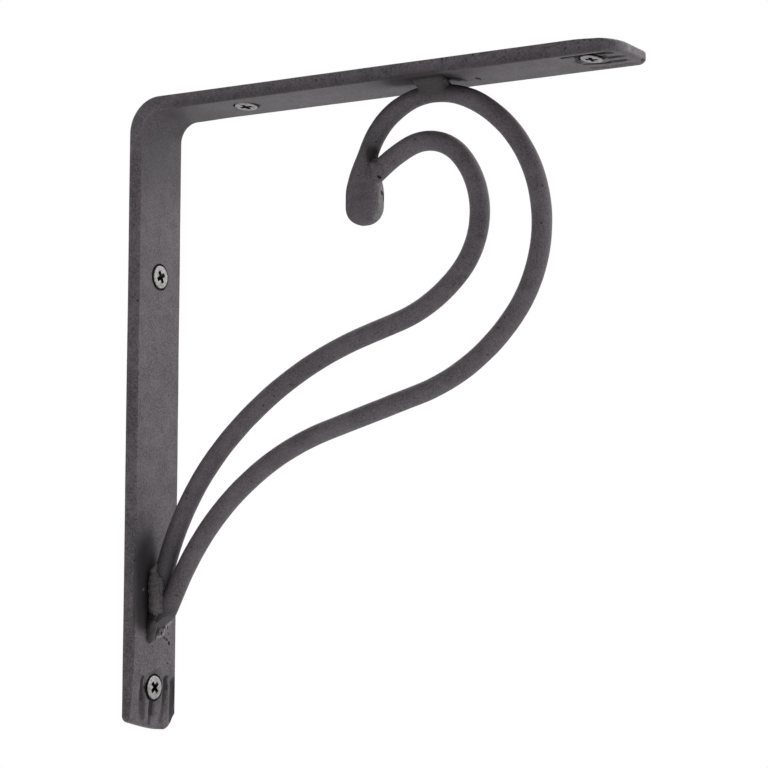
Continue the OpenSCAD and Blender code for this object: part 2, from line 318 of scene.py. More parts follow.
@dataclass(frozen=True)
class IronFinish:
    """Forged mild steel under a dark matt finish, a little sandy, with small pits."""

    name: str
    deep: Colour
    body: Colour
    bright: Colour
    # Colour of bare rubbed metal, also used for painted highlights.
    bare_and_highlight: Colour
    roughness: float = 0.62
    gloss: float = 0.42
    spread: float = 0.10
    relief: float = 0.55
    grain_height: float = 0.05
    streak_height: float = 0.05
    streak_roughness: float = 0.16
    tone_shares: Point = (0.15, 0.25, 0.60)
    # How the stored wear lightens the colour: rubbed metal and painted highlights.
    rub_and_highlight_shares: tuple[float, float] = (0.35, 1.1)
    rub_and_highlight_run: tuple[float, float] = (0.55, 1.1)
    rub_polish: float = 0.12
    pit_share: float = 0.13
    pit_cloud: float = 0.35
    pit_edge: tuple[float, float] = (0.10, 0.24)
    pit_height: float = 0.16
    pit_shade: float = 0.3
    pit_cover: float = 0.8
    pit_roughness: float = 0.2
    # Ash colours for soot and for painted shade.
    ash_and_shade_low: float = 0.55
    ash_and_shade_high: float = 1.45
    ash_and_shade_run: tuple[float, float] = (0.0, 0.9)
    fray: float = 0.5
    # A near-black matt shader for cinder, dark marks and painted shadow.
    cinder_and_shadow_run: tuple[float, float] = (0.5, 1.15)
    cinder_and_shadow_cover: float = 0.9
    cinder_and_shadow_shade: float = 0.12
    cinder_and_shadow_roughness: float = 0.9
    cinder_and_shadow_gloss: float = 0.1
    mark_fray: float = 1.2
    mark_edge: tuple[float, float] = (1.15, 0.65)
    scale: GroundScale = GroundScale()
    marks: tuple[Mark, ...] = ()

    def build(self) -> bpy.types.Material:
        """Builds the material.

        Returns:
            The material. It reads the stored wear with painted highlights, and soot with painted
            shade.
        """
        material, g = blank_material(self.name)
        place = g.add("ShaderNodeTexCoord").outputs["Object"]
        cloud = g.noise(place, self.scale.cloud, 3.0)
        streak = g.noise(place, self.scale.streak, 4.0)
        grain = g.noise(place, self.scale.grain, 5.0)
        pits = self._pits(g, place, cloud)
        wear, soot = g.painted("wear"), g.painted("soot")
        slow, middle, fine = self.tone_shares
        tone = cloud * slow + streak * middle + grain * fine
        ground = self._tinted(g, tone, (self.deep, self.body, self.bright))
        # Painted highlight: the stored wear lightens the colour towards bare metal.
        even, patchy = self.rub_and_highlight_shares
        rubbed_and_highlit = g.mix(wear * (even + grain * patchy).ramp(*self.rub_and_highlight_run), ground, self.bare_and_highlight)
        # Painted shade: soot and shade darken the colour towards the ash colours.
        ash_and_shade_colours = (shade(self.deep, self.ash_and_shade_low), shade(self.deep, self.ash_and_shade_high))
        frayed = soot + soot * (streak + grain - 1.0) * self.fray
        sooty_and_shaded = g.mix(frayed.ramp(*self.ash_and_shade_run), rubbed_and_highlit, self._tinted(g, tone, ash_and_shade_colours))
        colour = g.mix(pits * self.pit_cover, sooty_and_shaded, shade(self.deep, self.pit_shade))
        # Painted shadow: the deepest soot and shade, and dark marks, turn to the near-black
        # shader.
        black = frayed.ramp(*self.cinder_and_shadow_run) * self.cinder_and_shadow_cover
        for mark in self.marks:
            spot = self._spot(g, place, mark, grain)
            if mark.dark:
                black = black.most(spot)
            else:
                colour = g.mix(spot, colour, self.bare_and_highlight)
        height = grain * self.grain_height + streak * self.streak_height
        height -= pits * self.pit_height
        roughness = (streak - 0.5) * self.streak_roughness
        roughness += self.roughness + pits * self.pit_roughness
        iron = g.principled(
            Base_Color=colour,
            Roughness=roughness - wear * self.rub_polish,
            Normal=g.bump(self.relief, height),
            Specular_IOR_Level=self.gloss,
        )
        cinder_and_shadow = g.principled(
            Base_Color=(*shade(self.deep, self.cinder_and_shadow_shade), 1.0),
            Roughness=self.cinder_and_shadow_roughness,
            Specular_IOR_Level=self.cinder_and_shadow_gloss,
        )
        both = g.add("ShaderNodeMixShader", {}, {"Fac": black, 1: iron, 2: cinder_and_shadow})
        g.add("ShaderNodeOutputMaterial", {}, {"Surface": both.outputs["Shader"]})
        return material

    def _tinted(self, g: Graph, tone: Signal, colours: Sequence[Colour]) -> bpy.types.NodeSocket:
        """Spreads colours evenly over the middle of a tone.

        Args:
            g: The material's graph.
            tone: A value about 0.5.
            colours: From dark to light.

        Returns:
            The colour.
        """
        positions = np.linspace(0.5 - self.spread, 0.5 + self.spread, len(colours))
        stops = list(zip(positions.tolist(), colours))
        return g.add("ShaderNodeValToRGB", {"stops": stops}, {"Fac": tone}).outputs["Color"]

    def _spot(self, g: Graph, place: object, mark: Mark, grain: Signal) -> Signal:
        """Draws one mark.

        Args:
            g: The material's graph.
            place: The coordinates.
            mark: The mark.
            grain: The fine variation of the surface, which frays the mark's edge.

        Returns:
            1 inside the mark and 0 outside.
        """
        offset = g.vector("SUBTRACT", place, tuple(c * MM for c in mark.place))
        scaled = g.vector("DIVIDE", offset, tuple(c * MM for c in mark.half))
        reach = Signal(g, g.vector("LENGTH", scaled, output="Value"))
        frayed = reach + (grain - 0.5) * self.mark_fray
        return frayed.ramp(*self.mark_edge) * mark.strength

    def _pits(self, g: Graph, place: object, cloud: Signal) -> Signal:
        """Scatters small round pits, closer together where the surface is cloudy.

        Args:
            g: The material's graph.
            place: The coordinates.
            cloud: The slow variation of the surface.

        Returns:
            1 inside a pit and 0 outside.
        """
        cells = g.add("ShaderNodeTexVoronoi", {}, {"Vector": place, "Scale": self.scale.pit})
        chance = g.signal(
            g.add("ShaderNodeSeparateColor", {}, {"Color": cells.outputs["Color"]}), "Red"
        )
        pick = (self.pit_share + (cloud - 0.5) * self.pit_cloud - chance).ramp(0.0, 0.02)
        return pick * (1 - g.signal(cells, "Distance").ramp(*self.pit_edge))


@dataclass(frozen=True)
class SteelFinish:
    """Dull zinc-plated steel of a screw."""

    name: str
    body: Colour
    dark: Colour
    roughness: float = 0.42
    roughness_spread: float = 0.2
    metallic: float = 0.75
    relief: float = 0.3
    grain_height: float = 0.04
    # How dark the painted shade in the recess and on the head's rim is.
    shadow_share: float = 0.12
    cloud_scale: float = 900.0
    grain_scale: float = 3000.0
    tone_shares: tuple[float, float] = (0.6, 0.4)
    tone_run: tuple[float, float] = (0.36, 0.58)

    def build(self) -> bpy.types.Material:
        """Builds the material.

        Returns:
            The material, which reads the stored painted shade of the recess and the head's rim.
        """
        material, g = blank_material(self.name)
        place = g.add("ShaderNodeTexCoord").outputs["Object"]
        cloud = g.noise(place, self.cloud_scale, 3.0)
        grain = g.noise(place, self.grain_scale, 4.0)
        slow, fine = self.tone_shares
        tone = (cloud * slow + grain * fine).ramp(*self.tone_run)
        clean = g.mix(tone, self.dark, self.body)
        steel = g.principled(
            # Painted shade in the recess and on the head's rim.
            Base_Color=g.mix(g.painted("soot"), clean, shade(self.dark, self.shadow_share)),
            Metallic=self.metallic,
            Roughness=self.roughness + grain * self.roughness_spread - self.roughness_spread / 2,
            Normal=g.bump(self.relief, grain * self.grain_height),
        )
        g.add("ShaderNodeOutputMaterial", {}, {"Surface": steel})
        return material


# ---- Mesh helpers ----


def smoothstep(low: float, high: float, value: np.ndarray | float) -> np.ndarray | float:
    """Returns a smooth step from 0 at low to 1 at high, falling where low is above high."""
    t = np.clip((value - low) / (high - low), 0.0, 1.0)
    return t * t * (3.0 - 2.0 * t)


def wander(points: np.ndarray, cell: float, seed: float) -> np.ndarray:
    """Returns a smooth random value from about -1 to 1 for each point.

    Args:
        points: Places in millimetres, one a row.
        cell: Size of the variation in millimetres.
        seed: Which variation.

    Returns:
        One value a point.
    """
    shift = Vector((seed * 7.31, seed * 3.17, seed * 11.9))
    return np.array([noise.noise(Vector(p) / cell + shift) for p in points])


def new_piece(name: str, vertices: np.ndarray, faces: list[Sequence[int]]) -> bpy.types.Object:
    """Makes an object of a mesh.

    Args:
        name: The object's name.
        vertices: Places in millimetres.
        faces: Vertex indices of each face.

    Returns:
        The linked object, smooth shaded.
    """
    mesh = bpy.data.meshes.new(name)
    mesh.from_pydata((np.asarray(vertices) * MM).tolist(), [], [list(f) for f in faces])
    mesh.update()
    piece = link_up(name, mesh)
    mesh.shade_smooth()
    return piece


def link_up(name: str, data: bpy.types.ID) -> bpy.types.Object:
    """Returns a new object of a mesh, camera or lamp, linked to the scene."""
    piece = bpy.data.objects.new(name, data)
    bpy.context.scene.collection.objects.link(piece)
    return piece


def store(mesh: bpy.types.Mesh, name: str, values: np.ndarray, domain: str = "POINT") -> None:
    """Stores numbers or vectors on a mesh.

    Args:
        mesh: The mesh.
        name: The attribute's name.
        values: A number or a row of three for each element.
        domain: What the elements are.
    """
    values = np.asarray(values, np.float32)
    kind, key = ("FLOAT", "value") if values.ndim == 1 else ("FLOAT_VECTOR", "vector")
    layer = mesh.attributes.get(name) or mesh.attributes.new(name, kind, domain)
    layer.data.foreach_set(key, values.ravel())


def places(piece: bpy.types.Object) -> np.ndarray:
    """Returns the vertices' places in millimetres, one a row."""
    flat = np.zeros(len(piece.data.vertices) * 3)
    piece.data.vertices.foreach_get("co", flat)
    return flat.reshape(-1, 3) / MM


def baked(piece: bpy.types.Object) -> bpy.types.Object:
    """Turns an object with modifiers into a plain mesh.

    Args:
        piece: The object, which keeps its name.

    Returns:
        The same object with the result as its mesh and no modifier.
    """
    bpy.context.view_layer.update()
    result = piece.evaluated_get(bpy.context.evaluated_depsgraph_get())
    mesh = bpy.data.meshes.new_from_object(result)
    old = piece.data
    piece.modifiers.clear()
    piece.data = mesh
    mesh.name = piece.name
    bpy.data.meshes.remove(old)
    return piece


def coat(piece: bpy.types.Object, material: bpy.types.Material) -> None:
    """Gives the whole piece one material.

    Args:
        piece: The object.
        material: Its finish.
    """
    piece.data.materials.clear()
    piece.data.materials.append(material)
    piece.data.polygons.foreach_set("material_index", [0] * len(piece.data.polygons))


def face_outwards(piece: bpy.types.Object) -> None:
    """Makes every face of a closed piece point outwards.

    Args:
        piece: The object.
    """
    bm = bmesh.new()
    bm.from_mesh(piece.data)
    bmesh.ops.remove_doubles(bm, verts=bm.verts, dist=1e-7)
    bmesh.ops.recalc_face_normals(bm, faces=bm.faces)
    bm.to_mesh(piece.data)
    bm.free()


def cut(piece: bpy.types.Object, tool: bpy.types.Object) -> None:
    """Takes the tool's shape out of a piece and removes the tool.

    Args:
        piece: The object to cut.
        tool: A closed object.
    """
    modifier = piece.modifiers.new("cut", "BOOLEAN")
    modifier.operation = "DIFFERENCE"
    modifier.solver = "EXACT"
    modifier.object = tool
    baked(piece)
    bpy.data.objects.remove(tool)


def slice_off(
    piece: bpy.types.Object, through: Point, towards: Point, below: float = math.inf
) -> None:
    """Cuts a closed piece at a plane and closes the cut.

    Args:
        piece: The object.
        through: A point of the plane, in millimetres.
        towards: The side that is taken away.
        below: Only what lies lower than this height is cut.
    """
    bm = bmesh.new()
    bm.from_mesh(piece.data)
    faces = [f for f in bm.faces if max(v.co.z for v in f.verts) < below * MM]
    edges = dict.fromkeys(e for f in faces for e in f.edges)
    verts = dict.fromkeys(v for f in faces for v in f.verts)
    result = bmesh.ops.bisect_plane(
        bm,
        geom=[*verts, *edges, *faces],
        dist=1e-7,
        plane_co=Vector(through) * MM,
        plane_no=Vector(towards),
        clear_outer=True,
    )
    rim = [e for e in result["geom_cut"] if isinstance(e, bmesh.types.BMEdge)]
    bmesh.ops.contextual_create(bm, geom=rim)
    bm.to_mesh(piece.data)
    bm.free()


def dress(piece: bpy.types.Object, nodes: Sequence[str], angle: float = 35.0) -> None:
    """Fits a finished piece into the frame.

    Args:
        piece: The finished object, with its material.
        nodes: The CAD nodes that it stands for.
        angle: Edges sharper than this many degrees stay sharp.
    """
    piece.data.set_sharp_from_angle(angle=math.radians(angle))
    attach(piece, BODY)
    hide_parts(*nodes)
    LOG.info("%s: %d triangles", piece.name, sum(len(p.vertices) - 2 for p in piece.data.polygons))


class PieceTree:
    """A geometry tree with named inputs that turns a start mesh into one finished piece."""

    def __init__(self, name: str, **kinds: str) -> None:
        """Builds the tree.

        Args:
            name: The tree's name.
            kinds: The kind of socket of each input.
        """
        self.tree = bpy.data.node_groups.new(name, "GeometryNodeTree")
        face = self.tree.interface
        face.new_socket("Start", in_out="INPUT", socket_type="NodeSocketGeometry")
        self.keys = {
            key: face.new_socket(key, in_out="INPUT", socket_type="NodeSocket" + kind).identifier
            for key, kind in {**kinds, "Finish": "Material"}.items()
        }
        face.new_socket("Piece", in_out="OUTPUT", socket_type="NodeSocketGeometry")
        g = Graph(self.tree)
        given = g.add("NodeGroupInput").outputs
        real = g.add("GeometryNodeRealizeInstances", {}, {"Geometry": self._form(g, given)})
        smooth = g.add("GeometryNodeSetShadeSmooth", {}, {"Geometry": real.outputs[0]})
        inputs = {"Geometry": smooth.outputs[0], "Material": given["Finish"]}
        done = g.add("GeometryNodeSetMaterial", {}, inputs)
        g.add("NodeGroupOutput", {}, {"Piece": done.outputs[0]})

    def _form(self, g: Graph, given: bpy.types.NodeOutputs) -> bpy.types.NodeSocket:
        """Adds the nodes that form the piece.

        Args:
            g: The tree's graph.
            given: The tree's inputs.

        Returns:
            The formed geometry.
        """
        raise NotImplementedError

    @staticmethod
    def roughen(
        g: Graph, skin: object, scale: object, detail: float, seed: object, depth: object
    ) -> bpy.types.NodeSocket:
        """Moves a skin in and out along its normals.

        Args:
            g: The tree's graph.
            skin: The geometry.
            scale: Lumps in a metre.
            detail: How fine the lumps go.
            seed: Which lumps.
            depth: Their height.

        Returns:
            The geometry with its lumps.
        """
        lumps = g.add(
            "ShaderNodeTexNoise",
            {"noise_dimensions": "4D"},
            {"Scale": scale, "Detail": detail, "W": seed},
        )
        push = (g.signal(lumps, "Fac") - 0.5) * Signal(g, depth)
        offset = g.scaled(g.add("GeometryNodeInputNormal").outputs["Normal"], push)
        inputs = {"Geometry": skin, "Offset": offset}
        return g.add("GeometryNodeSetPosition", {}, inputs).outputs[0]

    def grow(
        self,
        name: str,
        mesh: bpy.types.Mesh,
        material: bpy.types.Material,
        **values: object,
    ) -> bpy.types.Object:
        """Makes one piece.

        Args:
            name: The piece's name.
            mesh: The start mesh.
            material: Its finish.
            values: The value of each input.

        Returns:
            The piece as a plain mesh.
        """
        piece = link_up(name, mesh)
        modifier = piece.modifiers.new(self.tree.name, "NODES")
        modifier.node_group = self.tree
        for key, value in {**values, "Finish": material}.items():
            modifier[self.keys[key]] = value
        coat(baked(piece), material)
        return piece


# ---- The flat bar ----


@dataclass(frozen=True)
class Grooves:
    """Grooves that a fuller left along one end of the bar."""

    lanes: tuple[float, ...]
    starts: tuple[float, ...]
    stop: float
    fade: float
    start_fade: float
    radius: float = 2.4
    depth: float = 0.8

    def depth_at(self, from_end: np.ndarray, across: np.ndarray) -> np.ndarray:
        """How deep the grooves are.

        Args:
            from_end: Distance from the end of the bar.
            across: Place across the bar.

        Returns:
            Depth below the face.
        """
        total = np.zeros_like(across)
        for lane, start in zip(self.lanes, self.starts):
            along = smoothstep(self.stop, self.stop + self.fade, from_end) * smoothstep(
                start, start - self.start_fade, from_end
            )
            reach = np.clip(self.radius**2 - (across - lane) ** 2, 0.0, None)
            cup = np.clip(np.sqrt(reach) - (self.radius - self.depth), 0.0, None)
            total = np.maximum(total, cup * along)
        return total


@dataclass(frozen=True)
class Zone:
    """The space in which a mark may lie, as a range on each axis."""

    x: tuple[float, float] = (-FAR, FAR)
    y: tuple[float, float] = (-FAR, FAR)
    z: tuple[float, float] = (-FAR, FAR)

    def holds(self, points: np.ndarray) -> np.ndarray:
        """Returns for each place whether it lies inside."""
        low, high = np.transpose((self.x, self.y, self.z))
        return ((points > low) & (points < high)).all(axis=1)


@dataclass(frozen=True)
class Streak:
    """A soft dark streak from one place to another, as seen along one axis."""

    start: tuple[float, float]
    end: tuple[float, float]
    half: float
    strength: float

    def on(self, points: np.ndarray) -> np.ndarray:
        """How dark the streak is.

        Args:
            points: Places as seen along the axis, one a row.

        Returns:
            Darkness from 0 to the streak's strength.
        """
        start, run = np.array(self.start), np.array(self.end) - np.array(self.start)
        along = np.clip((points - start) @ run / (run @ run), 0, 1)
        reach = np.linalg.norm(points - start - along[:, None] * run, axis=1)
        return self.strength * smoothstep(1.4, 0.7, reach / self.half)


@dataclass(frozen=True)
class Patch:
    """A soft dark patch: full about its core and gone at some way from it."""

    low: tuple[float, float]
    high: tuple[float, float]
    before: tuple[float, float]
    after: tuple[float, float]
    strength: float
    gone: float = 1.3
    full: float = 0.35

    def on(self, points: np.ndarray) -> np.ndarray:
        """How dark the patch is.

        Args:
            points: Places as seen along one axis, one a row.

        Returns:
            Darkness from 0 to the patch's strength.
        """
        short = np.clip(np.array(self.low) - points, 0, None) / self.before
        past = np.clip(points - np.array(self.high), 0, None) / self.after
        return self.strength * smoothstep(self.gone, self.full, np.hypot(*(short + past).T))


# Dark streaks on the leg: dark scale and painted shade in the grooves, painted shade round the
# wall screw's head, and soot and painted shade by the foot weld.
LEG_SHADE_AND_SCALE_STREAKS = (
    Streak((-6.9, -71.2), (-6.4, -79.0), 1.10, 0.85),
    Streak((-6.3, -79.0), (-5.4, -85.5), 1.21, 0.62),
    Streak((-1.3, -79.0), (-1.1, -84.0), 1.32, 0.85),
    Streak((-1.2, -84.0), (-1.9, -87.2), 0.99, 0.80),
    Streak((7.1, -71.2), (6.9, -75.5), 0.99, 0.85),
    Streak((6.4, -75.5), (6.0, -80.5), 1.10, 0.85),
    Streak((5.8, -80.0), (4.6, -87.0), 1.32, 0.74),
    Streak((5.1, -73.0), (4.8, -86.0), 1.76, 0.36),
    Streak((11.4, -72.0), (11.3, -78.0), 1.21, 0.77),
    Streak((11.1, -78.0), (10.2, -87.0), 1.10, 0.78),
    Streak((-2.8, -70.0), (0.4, -69.0), 0.99, 0.64),
    Streak((0.4, -69.0), (3.4, -69.6), 1.10, 0.55),
    Streak((3.4, -69.8), (5.2, -72.5), 1.21, 0.42),
    Streak((-3.4, -78.6), (2.4, -79.9), 0.88, 0.30),
    Streak((1.2, -51.0), (-0.3, -54.2), 2.9, 1.0),
    Streak((3.6, -51.0), (4.6, -52.6), 1.5, 1.0),
)
# Dark streaks at the laps: a painted shadow below the notch of the curl, and streaks across the
# paddle.
LAP_SHADOW_AND_MARK_STREAKS = (
    Streak((97.6, 109.2), (100.4, 108.8), 0.60, 0.65),
    Streak((101.0, 107.6), (103.2, 107.2), 0.50, 0.60),
    Streak((102.8, 106.6), (102.6, 103.4), 0.50, 0.50),
    Streak((91.5, 101.0), (98.5, 100.6), 1.10, 0.34),
    Streak((91.0, 96.6), (97.5, 96.3), 0.90, 0.30),
)
LAP_ZONE = Zone(y=(-FAR, -1.5))
# Dark streaks under the arm: dark scale and painted shade in the grooves, painted shade round the
# shelf screw's head, and a painted shadow by the crown weld.
ARM_SHADE_AND_SCALE_STREAKS = (
    Streak((176.6, -9.5), (182.4, -9.3), 1.15, 1.3),
    Streak((183.8, -9.3), (187.1, -9.1), 0.9, 0.9),
    Streak((187.1, -9.1), (190.5, -8.4), 1.05, 1.1),
    Streak((190.5, -8.4), (193.4, -7.4), 1.0, 0.85),
    Streak((189.9, -6.0), (189.6, -2.4), 0.8, 0.9),
    Streak((181.6, -8.2), (179.6, -4.1), 1.2, 0.85),
    Streak((179.6, -4.1), (178.3, -0.6), 1.2, 0.9),
    Streak((179.4, 2.1), (183.5, 3.4), 1.1, 0.95),
    Streak((183.5, 3.4), (187.0, 3.9), 1.1, 1.1),
    Streak((190.0, -1.5), (195.4, -2.2), 1.0, 0.85),
    Streak((187.8, 3.8), (193.2, 3.7), 1.0, 0.85),
    Streak((179.3, 8.3), (183.8, 9.2), 1.4, 0.75),
    Streak((128.6, -5.0), (131.6, 1.0), 1.6, 1.2),
    Streak((131.6, -3.0), (132.6, 2.4), 1.3, 1.1),
)


@dataclass
class AngleBar:
    """The flat bar: a leg on the wall, a bend and an arm under the shelf."""

    width: float = 25.0
    thickness: float = 5.4
    arris: float = 0.45
    bend_inside: float = 7.4
    top: float = 140.0
    foot: float = -90.0
    length: float = 198.0
    leg_draw_length: float = 25.0
    leg_draw_near: float = 2.2
    leg_draw_far: float = 0.0
    leg_draw_start: float = 0.25
    arm_draw_length: float = 15.0
    arm_draw: float = 1.1
    arm_draw_start: float = 0.15
    arm_thin: float = 0.25
    arm_thin_run: tuple[float, float] = (13.0, 30.0)
    slope: float = 3.5
    slope_curve: float = 1.35
    far_cut: float = 5.6
    far_cut_curve: float = 1.8
    near_corner: float = 1.8
    near_round: float = 8.4
    far_round: float = 4.0
    foot_rim: float = 0.9
    tip_rim: float = 1.6
    foot_blend: float = 15.0
    tip_blend: float = 14.0
    columns: int = 52
    rows: int = 5
    arris_steps: int = 6
    bend_steps: int = 22
    step: float = 2.0
    end_steps: tuple[float, ...] = (0.0, 0.04, 0.12, 0.26, 0.46, 0.7, 0.95)
    foot_fine: tuple[float, float, float] = (1.3, 32.0, 0.6)
    tip_fine: tuple[float, float, float] = (1.3, 27.0, 0.55)
    sway: Point = (0.05, 0.02, 0.05)
    sway_size: float = 17.0
    # Rubbed arrises, lightened also as a painted highlight along them.
    rub_and_highlight: float = 0.10
    rub_and_highlight_run: tuple[float, float] = (1.2, 0.3)
    end_rub: float = 0.3
    end_rub_run: tuple[float, float] = (2.4, 0.8)
    # Painted shade in and around the bend.
    bend_shade: float = 0.45
    bend_shade_run: tuple[float, float] = (34.0, 12.0)
    bend_shade_depth: float = 1.0
    bend_shade_inset: float = 0.4
    # Darker towards the lower edge of the arm's near side.
    lower_darkening: float = 0.55
    lower_darkening_run: tuple[float, float] = (5.0, 0.6)
    lower_zone: Zone = Zone(x=(20.0, FAR), y=(-FAR, -12.0))
    # Painted shade in the gap round each screw head.
    seat_shade: float = 0.95
    seat_shade_depths: tuple[float, float] = (-3.0, -0.04)
    seat_shade_spread: float = 0.15
    leg_zone: Zone = Zone(x=(2.0, FAR), z=(-FAR, 0.0))
    arm_zone: Zone = Zone(x=(100.0, FAR), z=(-FAR, 136.5))
    streak_sway: float = 0.4
    streak_sway_size: float = 2.2
    # Soot and painted shade by the foot weld.
    foot_soot_and_shade: Patch = Patch((-4.5, -50.0), (-4.5, -30.0), (13.0, 7.0), (6.0, 17.0), 0.85, 1.35)
    foot_zone: Zone = Zone(x=(4.6, FAR), z=(-FAR, 40.0))
    # Soot and painted shadow under the arm by the crown weld.
    crown_soot_and_shade: Patch = Patch((114.0, -5.0), (128.0, -5.0), (15.0, 13.0), (9.0, 6.5), 0.85)
    crown_zone: Zone = Zone(x=(60.0, FAR), z=(-FAR, 135.6))
    leg_grooves: Grooves = Grooves(
        (-6.7, -1.1, 6.1, 10.4), (19.6, 11.4, 19.8, 18.6), 1.2, 6.0, 1.8, 2.2, 0.9
    )
    arm_grooves: Grooves = Grooves(
        (-9.2, -2.4, 3.2, 8.6), (22.0, 11.0, 12.0, 13.0), 1.5, 4.0, 2.5, 2.0, 0.5
    )

    def build(self, material: bpy.types.Material, screws: "ScrewSets") -> bpy.types.Object:
        """Builds and dresses the bar.

        Args:
            material: Its finish.
            screws: The screws, whose seats are cut.

        Returns:
            The piece.
        """
        outline = self._outline()
        stations = self._stations()
        vertices = np.vstack([self._ring(s, outline) for s in stations])
        count = len(outline)
        faces = []
        for ring in range(0, (len(stations) - 1) * count, count):
            for i in range(count):
                j = (i + 1) % count
                faces.append((ring + i, ring + j, ring + count + j, ring + count + i))
        vertices, caps = self._caps(vertices, count, len(stations))
        faces += caps
        vertices += wander(vertices, self.sway_size, 1.0)[:, None] * np.array(self.sway)
        vertices = np.clip(
            vertices,
            (0.0, -self._half(), self.foot),
            (self.length, self._half(), self.top),
        )
        bar = new_piece("angle_bar_forged", vertices, faces)
        face_outwards(bar)
        cut(bar, screws.seats())
        coat(bar, material)
        self._paint_marks(bar, screws)
        dress(bar, ["angle_bar"], 40.0)
        return bar

    # -- Section --

    def _half(self) -> float:
        """Half the width."""
        return self.width / 2

    def _samples_across(self) -> np.ndarray:
        """Chooses where the faces are sampled, closer at the rolled edges.

        Returns:
            Places across the bar.
        """
        turns = np.radians(np.linspace(0, 90, self.arris_steps))
        edge = self._half() - self.arris * (1 - np.sin(turns))[::-1]
        middle = np.linspace(-self._half() + self.arris, self._half() - self.arris, self.columns)
        return np.concatenate([-edge, middle[1:-1], edge[::-1]])

    def _outline(self) -> np.ndarray:
        """The section as rows of depth from the back, place across, and side.

        Returns:
            Points round the section: the back face, the far edge, the front face, the near edge.
        """
        across = np.unique(np.round(self._samples_across(), 5))
        dist = self._half() - np.abs(across)
        inset = np.clip(self.arris - dist, 0.0, None)
        drop = self.arris - np.sqrt(np.clip(self.arris**2 - inset**2, 0.0, None))
        back = [(d, y) for d, y in zip(drop, across)]
        front = [(self.thickness - d, y) for d, y in zip(drop, across)]
        side = np.linspace(self.arris, self.thickness - self.arris, self.rows + 1)[1:-1]
        far = [(q, self._half()) for q in side]
        near = [(q, -self._half()) for q in side[::-1]]
        return np.array(back + far + front[::-1] + near)

    # -- Length --

    def _bend_outside(self) -> float:
        """Outside radius of the bend."""
        return self.bend_inside + self.thickness

    def _leg_length(self) -> float:
        """Length of the straight part of the leg."""
        return self.top - self.foot - self._bend_outside()

    def _arc_length(self) -> float:
        """Length of the bend along the back face."""
        return self._bend_outside() * math.pi / 2

    def _stations(self) -> list[float]:
        """Chooses where the sections lie, closer together near both ends.

        Returns:
            Distances along the back face from the foot.
        """
        leg, arc = self._leg_length(), self._arc_length()
        total = leg + arc + self.length - self._bend_outside()
        ends = list(self.end_steps)
        foot = list(np.arange(*self.foot_fine))
        middle = list(np.arange(self.foot_fine[1] + 1.0, leg, self.step))
        bend = list(leg + np.linspace(0, arc, self.bend_steps))
        arm = np.arange(leg + arc + self.step, total - self.tip_fine[1] - self.step, self.step)
        tip = [total - d for d in reversed(ends + list(np.arange(*self.tip_fine)))]
        return ends + foot + middle + bend + list(arm) + tip

    def _total(self) -> float:
        """Length along the back face."""
        return self._stations()[-1]

    def _foot_line(self, y: np.ndarray) -> np.ndarray:
        """Draws the leg's end: a slope, a rounded near corner and a cut far one.

        Args:
            y: Places across the bar.

        Returns:
            Height of the leg's end above the foot.
        """
        inner = self._half() - self.far_cut
        near = np.clip((inner - y) / (inner + self._half()), 0.0, 1.0)
        inset = np.clip(self.near_corner - self._half() - y, 0.0, self.near_corner)
        corner = self.near_corner - np.sqrt(self.near_corner**2 - inset**2)
        far = np.clip((y - inner) / self.far_cut, 0.0, 1.0)
        cut_off = self.far_cut * far**self.far_cut_curve
        return self.slope * near**self.slope_curve + cut_off + corner

    def _tip_line(self, y: np.ndarray) -> np.ndarray:
        """Draws the arm's end with its two rounded corners.

        Args:
            y: Places across the bar.

        Returns:
            How far short of the tip the arm's end lies.
        """
        short = np.zeros_like(y)
        for side, radius in ((-1, self.near_round), (1, self.far_round)):
            inset = np.clip(side * y - (self._half() - radius), 0.0, radius)
            short = np.maximum(short, radius - np.sqrt(radius**2 - inset**2))
        return short

    def _ring(self, s: float, outline: np.ndarray) -> np.ndarray:
        """Places of one section.

        Args:
            s: Distance along the back face from the foot.
            outline: The section.

        Returns:
            One place for each point of the section.
        """
        depth, y = outline[:, 0].copy(), outline[:, 1].copy()
        to_tip = self._total() - s
        for end, rim in ((s, self.foot_rim), (to_tip, self.tip_rim)):
            if end < rim:
                inset = rim - math.sqrt(rim**2 - (rim - end) ** 2)
                mid = self.thickness / 2
                depth = mid + (depth - mid) * (1 - inset / mid)
                y = y * (1 - inset / self._half())
        leg, arc = self._leg_length(), self._arc_length()
        if s < leg:
            return self._leg_ring(s, depth, y)
        if s > leg + arc:
            return self._arm_ring(to_tip, depth, y)
        turn = (s - leg) / self._bend_outside()
        radius = self._bend_outside() - depth
        centre = (self._bend_outside(), self.top - self._bend_outside())
        return np.column_stack(
            [centre[0] - radius * math.cos(turn), y, centre[1] + radius * math.sin(turn)]
        )

    def _leg_ring(self, s: float, depth: np.ndarray, y: np.ndarray) -> np.ndarray:
        """Places a section of the leg, drawn thinner and grooved towards its end.

        Args:
            s: Distance from the foot.
            depth: Depth of each point from the back.
            y: Place of each point across the bar.

        Returns:
            One place for each point.
        """
        up = self._blended(self._foot_line(y), s, self.foot_blend)
        slope_z = self.leg_draw_near / self.leg_draw_length
        slope_y = (self.leg_draw_near - self.leg_draw_far) / self.width
        drawn = slope_z * (self.leg_draw_length - up) - slope_y * (y + self._half())
        taken = self._soft_floor(drawn, self.leg_draw_start) + self.leg_grooves.depth_at(up, y)
        x = depth * (1 - taken / self.thickness)
        return np.column_stack([x, y, self.foot + up])

